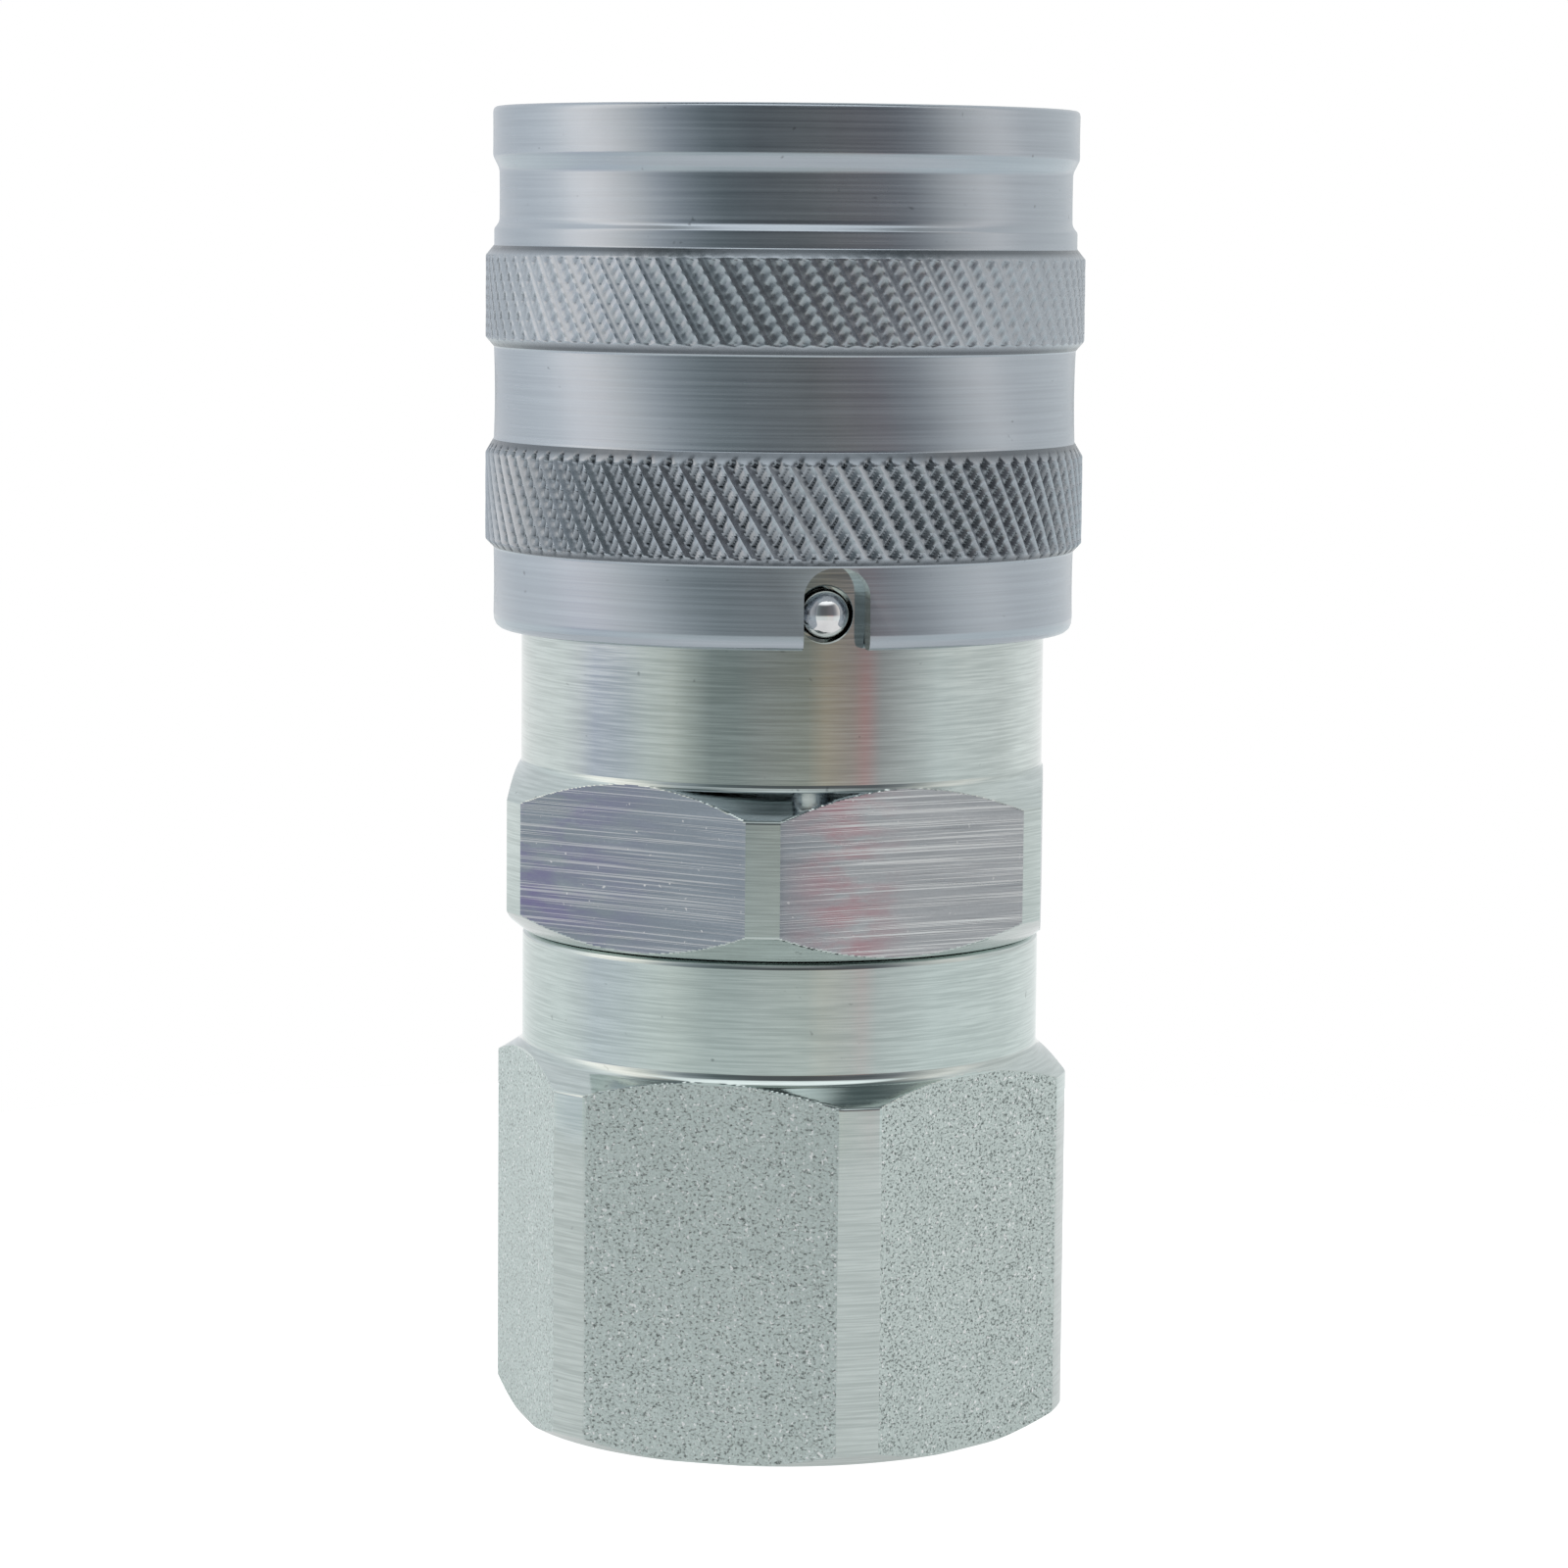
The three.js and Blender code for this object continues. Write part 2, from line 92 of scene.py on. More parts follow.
# Columns of points round a piece: an outer surface has three times as many as its bore.
KNURL_TEETH = 87
COLUMNS_PER_TOOTH = 8
SLEEVE_COLUMNS = KNURL_TEETH * COLUMNS_PER_TOOTH
SLEEVE_BORE_COLUMNS = SLEEVE_COLUMNS // 3
HEX_COLUMNS = 720
BORE_COLUMNS = HEX_COLUMNS // 3
SMALL_COLUMNS = 144
NUT_COLUMNS = 240
SEAL_SIDES = 20
WIRE_SIDES = 14
SNAP_RING_STEPS = 140
COIL_STEPS = 60  # a turn


def node_span(node):
    """Lowest and highest z of a CAD node, in millimetres."""
    low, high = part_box(node)
    return low.z / MM, high.z / MM


def node_height(node):
    low, high = node_span(node)
    return high - low


def node_radii(node):
    """Smallest and largest distance of a CAD node's points from the coupler's axis."""
    points = np.array([v.co for v in frame["nodes"][node].data.vertices])
    radii = np.hypot(points[:, 0], points[:, 1]) / MM
    return radii.min(), radii.max()


def node_centre(node):
    """Middle of a CAD node's box, in millimetres."""
    low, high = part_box(node)
    return (low + high) / 2 / MM


# Lowest levels of the three casings
SLEEVE_END = node_span("locking_sleeve")[0]
BODY_END = node_span("valve_body")[0]
ADAPTER_END = node_span("rear_adapter")[0]

# Sleeve, with levels from its rear edge
KNURL_R = 23.25
BAND_R = 22.6
KNURL_LEAN = math.tan(math.radians(30))  # of the knurl's grooves to the axis

# The rear knurl is sharp and deep, the front one shallow. The low and high levels are just past a
# knurl's ends. A groove sinks from its crest over one share of the way to the next crest, and rises
# again from a second share on.
KNURLS = (
    {"low": 6.0, "high": 14.9, "groove": 0.22, "sink": 1 / 4, "rise": 1 / 4, "notch": 0.36},
    {"low": 21.6, "high": 29.8, "groove": 0.08, "sink": 1 / 8, "rise": 3 / 8, "notch": 0.14},
)
NOTCH_STEEP = 1 / 4  # share of a knurl notch's length that its steep wall takes
NOTCH_FADE = 1 / 4  # share of the way to the next crest over which a notch gets shallower
SMALLER_NOTCH = 0.3  # by how much every second notch is shallower
HAIR = 0.001  # of a tooth, so that rounding leaves each point on the same side of an edge

# The cut-out round the lock ball
NOTCH_TURN = 10.4
NOTCH_HALF_WIDTH = 2.5
NOTCH_CORNER_R = 2.2
NOTCH_RISE = 6.15

# The sleeve's rings have a spacing at which the grooves follow the columns of its points, and the
# notches follow the diagonals of its faces.
NOTCHES_PER_TOOTH = 2
TOOTH_PITCH = FULL_TURN * KNURL_R / KNURL_TEETH
KNURL_LEVEL = TOOTH_PITCH / KNURL_LEAN / (NOTCHES_PER_TOOTH * COLUMNS_PER_TOOTH)

# An outline's runs that are longer than LONG_RUN get a point this far inside each end
BRACE = 0.05
LONG_RUN = 0.8
LONGEST_EASE = 0.48  # the most of a run that the easing of one end takes
NEAR = 0.01  # of a step, within which a level is taken as a run's own end

EDGE_TURN = 33  # degrees between faces, above which their edge shows as sharp

# Hexagons
ACROSS_FLATS = 41
ADAPTER_CORNER_TURN = 15.65
BODY_CORNER_TURN = -3.2
HEX_EDGE_TURN = 14  # below the angle from a flat to the turned corner
ON_FLAT_COSINE = 0.992  # of the angle within which a face counts as a flat's
NUT_ACROSS_FLATS = 13

# 3/4 in parallel thread, 14 turns to the inch
THREAD_PITCH = 25.4 / 14
THREAD_DEPTH = 1.16
THREAD_RISE = (1.2, 18.6)
PORT_R = 12.06  # of the port's bore, at the thread's crests

VALVE_SHOULDER = 83  # level of the valve sleeve's shoulder in the frame
LOCKING_BALLS = 12


# ---------------------------------------------------------------- meshes
def rounded(corners, steps=3):
    """Points of an open outline of (radius, z, cut) corners, each eased over its cut on both sides."""
    points = [np.array(corners[0][:2], float)]
    for before, here, after in zip(corners, corners[1:], corners[2:]):
        corner = np.array(here[:2], float)
        if not here[2]:
            points.append(corner)
            continue
        back = np.array(before[:2]) - corner
        ahead = np.array(after[:2]) - corner
        start = corner + back * min(here[2] / np.linalg.norm(back), LONGEST_EASE)
        end = corner + ahead * min(here[2] / np.linalg.norm(ahead), LONGEST_EASE)
        for t in np.linspace(0, 1, steps + 1):
            points.append((1 - t) ** 2 * start + 2 * t * (1 - t) * corner + t * t * end)
    points.append(np.array(corners[-1][:2], float))
    return braced(points)


def braced(points):
    """The same outline with a point just inside each end of its long runs, which keeps them straight
    in the smoothed shading.
    """
    result = [points[0]]
    for start, end in zip(points, points[1:]):
        length = np.linalg.norm(end - start)
        if length > LONG_RUN:
            result.append(start + (end - start) * BRACE / length)
            result.append(end - (end - start) * BRACE / length)
        result.append(end)
    return result


def divided(points, zones):
    """The same outline with more points where it runs through a (low, high, step) zone of z."""
    result = [points[0]]
    for start, end in zip(points, points[1:]):
        middle = (start[1] + end[1]) / 2
        step = next((s for low, high, s in zones if low <= middle <= high), None)
        count = 1 if step is None else max(1, math.ceil(np.linalg.norm(end - start) / step))
        for i in range(1, count + 1):
            result.append(start + (end - start) * i / count)
    return result


def levelled(points, zones, step):
    """The same outline with a point at each multiple of step in z, in the (low, high) zones of z."""
    result = [points[0]]
    for start, end in zip(points, points[1:]):
        first = math.floor(start[1] / step + NEAR) + 1
        for level in range(first, math.ceil(end[1] / step - NEAR)):
            z = level * step
            if any(low <= z <= high for low, high in zones):
                result.append(start + (end - start) * (z - start[1]) / (end[1] - start[1]))
        result.append(end)
    return result


def rings_of(points, base, columns, shape=None, lean=0.0):
    """A ring of points round the axis for each outline point. shape(turn, radius, z) may bend it."""
    rings = []
    for radius, z in points:
        turn = FULL_TURN * np.arange(columns) / columns + lean * z
        around = np.full(columns, radius) if shape is None else shape(turn, radius, z)
        level = np.full(columns, base + z)
        rings.append(np.stack((around * np.sin(turn), -around * np.cos(turn), level), 1) * MM)
    return rings


def joined(first, second):
    """Faces between two rings of point numbers, where one count is a multiple of the other.

    A four-sided face starts at the corner from which its fold runs down to the left.
    """
    if len(first) < len(second):
        return [face[::-1] for face in joined(second, first)]
    ratio = len(first) // len(second)
    faces = []
    for i, corner in enumerate(second):
        after = second[(i + 1) % len(second)]
        many = [first[(ratio * i + k) % len(first)] for k in range(ratio, -1, -1)]
        faces.append([after, *many, corner])
    return faces


def mesh_object(name, points, faces):
    """An object with a closed mesh, whose faces are turned outwards."""
    mesh = bpy.data.meshes.new(name)
    mesh.from_pydata(points, [], faces)
    work = bmesh.new()
    work.from_mesh(mesh)
    bmesh.ops.recalc_face_normals(work, faces=work.faces)
    work.to_mesh(mesh)
    work.free()
    piece = bpy.data.objects.new(name, mesh)
    bpy.context.scene.collection.objects.link(piece)
    return piece


def skinned(name, rings, closed=True):
    """A mesh through rings, which closes on itself or has a flat cap at each end."""
    starts = np.cumsum([0] + [len(r) for r in rings])
    numbers = [list(range(a, b)) for a, b in zip(starts, starts[1:])]
    pairs = list(zip(numbers, numbers[1:]))
    if closed:
        pairs.append((numbers[-1], numbers[0]))
    faces = [face for pair in pairs for face in joined(*pair)]
    if not closed:
        faces += [numbers[0], numbers[-1][::-1]]
    return mesh_object(name, np.concatenate(rings), faces)


def finished(piece, node, slot, *materials, edge_turn=EDGE_TURN):
    """Shades a piece, gives it its materials, and puts it in its CAD node's place."""
    piece.data.polygons.foreach_set("use_smooth", [True] * len(piece.data.polygons))
    piece.data.set_sharp_from_angle(angle=math.radians(edge_turn))
    piece.data.materials.clear()
    for material in materials:
        piece.data.materials.append(material)
    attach(piece, frame["nodes"][node]["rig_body"])
    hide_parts(node)


def cut_away(piece, cutters):
    """Subtracts closed meshes from a piece, and deletes them."""
    for cutter in cutters:
        modifier = piece.modifiers.new("cut", "BOOLEAN")
        modifier.operation = "DIFFERENCE"
        modifier.solver = "MANIFOLD"
        modifier.object = cutter
    evaluated = piece.evaluated_get(bpy.context.evaluated_depsgraph_get())
    cut = bpy.data.meshes.new_from_object(evaluated)
    piece.modifiers.clear()
    piece.data = cut
    for cutter in cutters:
        bpy.data.objects.remove(cutter)


def turned_about(points, turn):
    """Points made at the front, at -Y, turned to their place round the axis."""
    angle = math.radians(turn)
    c, s = math.cos(angle), math.sin(angle)
    return [(c * x - s * y, s * x + c * y, z) for x, y, z in points]


def drill(outline, turn, z, columns):
    """A closed drill shape that points at the axis, of (radius, distance from the axis) points."""
    rings = []
    for radius, distance in outline:
        angle = FULL_TURN * np.arange(columns) / columns
        x = radius * np.cos(angle)
        ring = [(a, -distance, z + b) for a, b in zip(x, radius * np.sin(angle))]
        rings.append(np.array(turned_about(ring, turn)) * MM)
    return skinned("drill", rings, closed=False)


# ---------------------------------------------------------------- shapes that bend a turned surface
def hexagon(corner_turn):
    """Flats cut on a turned blank, with one corner at an angle round the axis."""

    def shape(turn, radius, _z):
        off = (turn - math.radians(corner_turn)) % (math.pi / 3) - math.pi / 6
        flat = ACROSS_FLATS / 2 / np.cos(off)
        return np.minimum(flat, radius)

    return shape


def vee(phase, half_width):
    """Depth, from 0 to 1, of vee grooves spaced 1 apart."""
    off = np.abs((phase + 0.5) % 1 - 0.5)
    return np.maximum(1 - off / half_width, 0)


def knurl_depth(turn, z, knurl):
    """Spiral grooves that are smooth on one side, and notched across on the other.

    A notch has a steep wall, and a long side that rises away from it.
    """
    around = turn * KNURL_TEETH / FULL_TURN
    along = z * KNURL_LEAN / TOOTH_PITCH
    across = (around + along + HAIR) % 1
    flank = np.minimum(across / knurl["sink"], (1 - across) / (1 - knurl["rise"]))
    notches = NOTCHES_PER_TOOTH * (around - along) + HAIR
    stations = (0, NOTCH_STEEP, 1 - NOTCH_STEEP, 1)
    depth = np.interp(notches % 1, stations, (1, 1 / 2, 0, 1))
    smaller = 1 - SMALLER_NOTCH * (np.floor(notches + NOTCH_STEEP) % 2)
    room = np.where(across > knurl["rise"] + 0.05, np.clip((1 - across) / NOTCH_FADE, 0, 1), 0)
    return knurl["groove"] * np.clip(flank, 0, 1) + knurl["notch"] * smaller * room * depth


def knurl_at(z):
    """The knurl at a level of the sleeve, or None."""
    return next((knurl for knurl in KNURLS if knurl["low"] < z < knurl["high"]), None)


def knurled(turn, radius, z):
    """The sleeve's surface, with its knurls cut in."""
    around = np.full(len(turn), radius)
    knurl = knurl_at(z)
    return around if knurl is None else np.minimum(around, KNURL_R - knurl_depth(turn, z, knurl))


def threaded(turn, radius, z):
    """The port's thread: a helix with flat crests and roots, that runs out at both ends."""
    low, high = THREAD_RISE
    phase = z / THREAD_PITCH - turn / FULL_TURN
    fade = np.clip(min(z - low, high - z) / THREAD_PITCH, 0, 1)
    form = np.clip(vee(phase, 0.5) * 1.35 - 0.15, 0, 1)
    return radius + THREAD_DEPTH * fade * form


# ---------------------------------------------------------------- shader nodes
class Nodes:
    """Makes the nodes of one tree and joins them."""

    def __init__(self, tree):
        self.tree = tree

    def add(self, kind, sockets=None, **settings):
        """A new node with its settings, and with its named sockets set or joined."""
        made = self.tree.nodes.new(kind)
        for key, value in settings.items():
            setattr(made, key, value)
        for key, value in (sockets or {}).items():
            self.put(made.inputs[key], value)
        return made

    def put(self, socket, value):
        """Joins a socket to another node's output, or sets its value."""
        if isinstance(value, bpy.types.NodeSocket):
            self.tree.links.new(value, socket)
        else:
            socket.default_value = value

    def scaled(self, value, low, high, from_low=0.3, from_high=0.7, **settings):
        """A value spread between low and high. The usual limits fit a value from noise."""
        sockets = {
            "Value": value,
            "From Min": from_low,
            "From Max": from_high,
            "To Min": low,
            "To Max": high,
        }
        return self.add("ShaderNodeMapRange", sockets, **settings).outputs[0]

    def eased(self, value, from_low, from_high):
        """A value turned into 0 to 1, with no corner at either end."""
        return self.scaled(value, 0.0, 1.0, from_low, from_high, interpolation_type="SMOOTHSTEP")

    def mixed(self, factor, first, second, blend="MIX"):
        """A colour between two, or their blend."""
        mix = self.add("ShaderNodeMix", data_type="RGBA", blend_type=blend)
        sockets = (mix.inputs[0], mix.inputs[6], mix.inputs[7])
        for socket, value in zip(sockets, (factor, first, second)):
            self.put(socket, value)
        return mix.outputs[2]

    def maths(self, operation, *values):
        made = self.add("ShaderNodeMath", operation=operation)
        for socket, value in zip(made.inputs, values):
            self.put(socket, value)
        return made.outputs[0]

    def axes(self, space):
        """x, y and z of a texture space."""
        here = self.add("ShaderNodeTexCoord").outputs[space]
        return self.add("ShaderNodeSeparateXYZ", {"Vector": here}).outputs


class Surface(Nodes):
    """The nodes of one material. Its lengths are in millimetres, and its places in metres."""

    def __init__(self, name):
        self.material = bpy.data.materials.new(name)
        self.material.use_nodes = True
        super().__init__(self.material.node_tree)
        self.shader = self.tree.nodes["Principled BSDF"]

    def cells(self, size, detail=3.0, roughness=0.5):
        """Noise in the object's own space, with cells of a size in millimetres along each axis."""
        place = self.add("ShaderNodeTexCoord").outputs["Object"]
        scale = [1 / (side * MM) for side in size]
        mapped = self.add("ShaderNodeMapping", {"Vector": place, "Scale": scale})
        sockets = {"Vector": mapped.outputs[0], "Scale": 1.0, "Detail": detail}
        noise = self.add("ShaderNodeTexNoise", {**sockets, "Roughness": roughness})
        return noise.outputs["Fac"]

    def place(self):
        """The surface's distance from the coupler's axis, and its height."""
        x, y, z = self.axes("Object")
        squares = self.maths("ADD", self.maths("MULTIPLY", x, x), self.maths("MULTIPLY", y, y))
        return self.maths("SQRT", squares), z

    def bump(self, height, distance):
        sockets = {"Height": height, "Distance": distance * MM, "Strength": 1.0}
        return self.add("ShaderNodeBump", sockets).outputs[0]

    def set(self, **sockets):
        """Sets the shader's sockets and returns the finished material."""
        for key, value in sockets.items():
            self.put(self.shader.inputs[key.replace("_", " ")], value)
        return self.material


# ---------------------------------------------------------------- materials
def turned_metal(name, color, dark, roughness, line_depth, line_length, line_pitch):
    """Plated turned steel: fine rings round the axis, an uneven sheen, faint stains and specks."""
    n = Surface(name)
    lines = n.cells((line_length, line_length, line_pitch), detail=2, roughness=0.6)
    bands = n.cells((60, 60, line_pitch * 7), detail=2)
    patches = n.cells((11, 11, 14), detail=4, roughness=0.6)
    mottle = n.cells((1.1, 1.1, 0.8), detail=3)
    specks = n.scaled(n.cells((0.9, 0.9, 0.7), detail=1), 0.0, 0.6, 0.76, 0.82)
    tone = n.mixed(n.scaled(lines, 0.0, 1.0, 0.37, 0.63), (*dark, 1), (*color, 1))
    tone = n.mixed(n.scaled(patches, 0.0, 0.3), tone, (*dark, 1))
    tone = n.mixed(n.scaled(mottle, 0.0, 0.2), tone, (*dark, 1))
    tone = n.mixed(specks, tone, (*(c * 0.45 for c in dark), 1))
    sheen = n.scaled(patches, roughness - 0.03, roughness + 0.04)
    rough = n.maths("ADD", n.scaled(lines, -0.04, 0.04), sheen)
    height = n.maths("ADD", lines, n.maths("MULTIPLY", bands, 0.5))
    return n.set(
        Base_Color=tone,
        Metallic=1.0,
        Roughness=rough,
        Normal=n.bump(height, line_depth),
    )


def knurled_metal(name, color, dark):
    """Plated knurling: bright crests with uneven wear, and painted shade that darkens the grooves with
    depth.
    """
    n = Surface(name)
    # Painted shade: the colour darkens with the distance below the knurl's crests.
    crest = n.scaled(n.place()[0], 0.0, 1.0, (KNURL_R - 0.42) * MM, (KNURL_R - 0.02) * MM)
    grime = n.cells((0.5, 0.5, 0.4), detail=3)
    patches = n.cells((11, 11, 14), detail=4, roughness=0.6)
    groove_shade_and_wear = n.maths("MULTIPLY", crest, n.scaled(grime, 0.75, 1.0))
    tone = n.mixed(groove_shade_and_wear, (*dark, 1), (*color, 1))
    tone = n.mixed(n.scaled(patches, 0.0, 0.2), tone, (*dark, 1))
    return n.set(
        Base_Color=tone,
        Metallic=1.0,
        Roughness=n.scaled(grime, 0.2, 0.32),
        Normal=n.bump(grime, 0.006),
    )


# Painted shade and painted violet and pink reflections on the body's flats, which change along X
PAINTED_SIDE_SHADE = (0.50, 0.56, 0.62, 1)
PAINTED_VIOLET_REFLECTION = (0.20, 0.18, 0.34, 1)
PAINTED_PINK_REFLECTION = (0.56, 0.28, 0.32, 1)
PINK_X = 5
BRIGHT_SCORE = (0.84, 0.86, 0.86, 1)
BRIGHT_SPECK = (0.8, 0.8, 0.8, 1)


def milled_flats(name, color, dark):
    """Flats cut along the hexagon by a fly cutter: dull bands, and thin bright scores.

    Painted shade darkens them towards -X and turns them blue, with painted violet and pink
    reflections.
    """
    n = Surface(name)
    bands = n.cells((9, 9, 0.7), detail=3, roughness=0.6)
    streaks = n.cells((5, 5, 0.16), detail=2, roughness=0.6)
    scores = n.scaled(n.cells((22, 22, 0.085), detail=1), 0.0, 1.0, 0.56, 0.62)
    specks = n.scaled(n.cells((0.4, 0.4, 0.4), detail=1), 0.0, 0.7, 0.74, 0.8)
    grain = n.cells((0.3, 0.3, 0.14), detail=3, roughness=0.6)
    hue = n.scaled(n.cells((5, 5, 1.6), detail=4, roughness=0.6), 0.0, 1.0, 0.4, 0.62)
    x = n.axes("Object")[0]
    # Painted light along X: 0 on the shaded side towards -X, 1 towards +X.
    side = n.scaled(x, 0.0, 1.0, -3 * MM, 5 * MM)
    # Painted violet reflection towards -X.
    violet = n.maths("MULTIPLY", n.scaled(x, 0.85, 0.0, -20 * MM, -8 * MM), hue)
    # Painted pink reflection round PINK_X along X.
    off_pink = n.maths("ABSOLUTE", n.maths("SUBTRACT", x, PINK_X * MM))
    pink = n.maths("MULTIPLY", n.scaled(off_pink, 0.65, 0.0, 1 * MM, 5 * MM), hue)
    tone = n.mixed(n.scaled(bands, 0.0, 0.75), (*dark, 1), (*color, 1))
    tone = n.mixed(n.scaled(streaks, 0.0, 0.5), tone, (*dark, 1))
    tone = n.mixed(n.scaled(grain, 0.0, 0.5), tone, (*dark, 1))
    # Painted shade: darker and bluer towards -X.
    tone = n.mixed(side, n.mixed(1.0, tone, PAINTED_SIDE_SHADE, "MULTIPLY"), tone)
    tone = n.mixed(violet, tone, PAINTED_VIOLET_REFLECTION)
    tone = n.mixed(pink, tone, PAINTED_PINK_REFLECTION)
    # Painted highlight: the scores are brighter towards +X.
    score_highlight = n.scaled(side, 0.4, 0.95, 0.0, 1.0)
    tone = n.mixed(n.maths("MULTIPLY", scores, score_highlight), tone, BRIGHT_SCORE)
    tone = n.mixed(specks, tone, BRIGHT_SPECK)
    height = n.maths("ADD", streaks, n.maths("MULTIPLY", scores, 0.7))
    return n.set(
        Base_Color=tone,
        Metallic=1.0,
        Roughness=n.scaled(bands, 0.26, 0.42),
        Normal=n.bump(height, 0.012),
    )


def grained_flats(name, color, dark):
    """Flats left with the rolled bar's pitted skin under the plating."""
    n = Surface(name)
    pits = n.cells((0.24, 0.24, 0.18), detail=2, roughness=0.55)
    grain = n.cells((0.16, 0.16, 0.16), detail=2)
    specks = n.scaled(n.cells((0.3, 0.3, 0.3), detail=1), 0.0, 1.0, 0.65, 0.71)
    broad = n.cells((7, 7, 9), detail=2)
    pitted = n.scaled(pits, 1.0, 0.0, 0.3, 0.46)
    tone = n.mixed(n.scaled(grain, 0.0, 0.8), (*color, 1), (*dark, 1))
    tone = n.mixed(n.scaled(broad, 0.0, 0.2), tone, (*dark, 1))
    tone = n.mixed(n.maths("MULTIPLY", pitted, 0.92), tone, (*(c * 0.32 for c in dark), 1))
    tone = n.mixed(specks, tone, (0.92, 0.95, 0.95, 1))
    height = n.maths("SUBTRACT", n.maths("MULTIPLY", grain, 0.5), pitted)
    return n.set(
        Base_Color=tone,
        Metallic=1.0,
        Roughness=n.scaled(grain, 0.4, 0.52),
        Normal=n.bump(height, 0.06),
    )


def polished_steel(name):
    n = Surface(name)
    haze = n.cells((1.4, 1.4, 1.4), detail=3)
    tone = n.mixed(n.scaled(haze, 0.0, 1.0), (0.72, 0.72, 0.73, 1), (0.86, 0.86, 0.86, 1))
    rough = n.scaled(haze, 0.05, 0.12)
    return n.set(Base_Color=tone, Metallic=1.0, Roughness=rough, Normal=n.bump(haze, 0.002))


def faced_steel(name, color, dark, cut_pitch):
    """Steel cut on the lathe, with fine rings centred on the axis."""
    n = Surface(name)
    count = n.maths("DIVIDE", n.maths("ADD", *n.place()), cut_pitch * MM)
    sockets = {"W": count, "Scale": 1.0, "Detail": 3.0}
    cuts = n.add("ShaderNodeTexNoise", sockets, noise_dimensions="1D").outputs["Fac"]
    tone = n.mixed(n.scaled(cuts, 0.0, 1.0), (*dark, 1), (*color, 1))
    patches = n.cells((8, 8, 8), detail=3)
    rough = n.maths("ADD", n.scaled(cuts, -0.04, 0.04), n.scaled(patches, 0.22, 0.32))
    return n.set(Base_Color=tone, Metallic=1.0, Roughness=rough, Normal=n.bump(cuts, 0.006))


def drawn_wire(name):
    n = Surface(name)
    marks = n.cells((2, 2, 0.4), detail=3)
    tone = n.mixed(n.scaled(marks, 0.0, 1.0), (0.2, 0.2, 0.21, 1), (0.36, 0.36, 0.37, 1))
    rough = n.scaled(marks, 0.26, 0.4)
    return n.set(Base_Color=tone, Metallic=1.0, Roughness=rough, Normal=n.bump(marks, 0.004))


def soft_part(name, color, bright, roughness):
    """Moulded rubber or plastic with a faint mottle."""
    n = Surface(name)
    mottle = n.cells((0.7, 0.7, 0.7), detail=4)
    tone = n.mixed(n.scaled(mottle, 0.0, 1.0), (*color, 1), (*bright, 1))
    rough = n.scaled(mottle, roughness - 0.08, roughness + 0.08)
    return n.set(Base_Color=tone, Roughness=rough, Normal=n.bump(mottle, 0.006))


sleeve_plate = turned_metal(
    "sleeve_plate",
    color=(0.47, 0.52, 0.57),
    dark=(0.42, 0.465, 0.51),
    roughness=0.22,
    line_depth=0.002,
    line_length=25,
    line_pitch=0.24,
)
zinc_turned = turned_metal(
    "zinc_turned",
    color=(0.66, 0.73, 0.71),
    dark=(0.49, 0.55, 0.535),
    roughness=0.07,
    line_depth=0.0008,
    line_length=6,
    line_pitch=0.16,
)
# The knurl's dark colour is painted shade at the bottom of its grooves.
knurl_plate = knurled_metal("knurl_plate", color=(0.52, 0.57, 0.62), dark=(0.16, 0.18, 0.20))
zinc_milled = milled_flats("zinc_milled", color=(0.74, 0.76, 0.78), dark=(0.46, 0.48, 0.50))
zinc_grained = grained_flats("zinc_grained", color=(0.71, 0.80, 0.78), dark=(0.50, 0.58, 0.56))
face_steel = faced_steel(
    "face_steel", color=(0.62, 0.63, 0.64), dark=(0.48, 0.49, 0.5), cut_pitch=0.19
)
ball_polish = polished_steel("ball_polish")
spring_wire = drawn_wire("spring_wire")
black_rubber = soft_part("black_rubber", (0.012, 0.012, 0.013), (0.03, 0.03, 0.032), 0.5)
white_ptfe = soft_part("white_ptfe", (0.74, 0.71, 0.64), (0.84, 0.82, 0.76), 0.45)


# ---------------------------------------------------------------- casings
def mark_flats(piece, corner_turn, low, high, material_index):
    """Gives the faces that lie on a hexagon's flats, between two levels, their own material."""
    first = math.radians(corner_turn)
    sixth = math.pi / 3
    for polygon in piece.data.polygons:
        x, y, z = polygon.center / MM
        flat = first + (math.floor((math.atan2(x, -y) - first) / sixth) + 0.5) * sixth
        out = Vector((math.sin(flat), -math.cos(flat), 0))
        faces_out = polygon.normal.dot(out) > ON_FLAT_COSINE
        on_flat = out.dot((x, y, 0)) > ACROSS_FLATS / 2 - 0.05
        if low < z < high and faces_out and on_flat:
            polygon.material_index = material_index


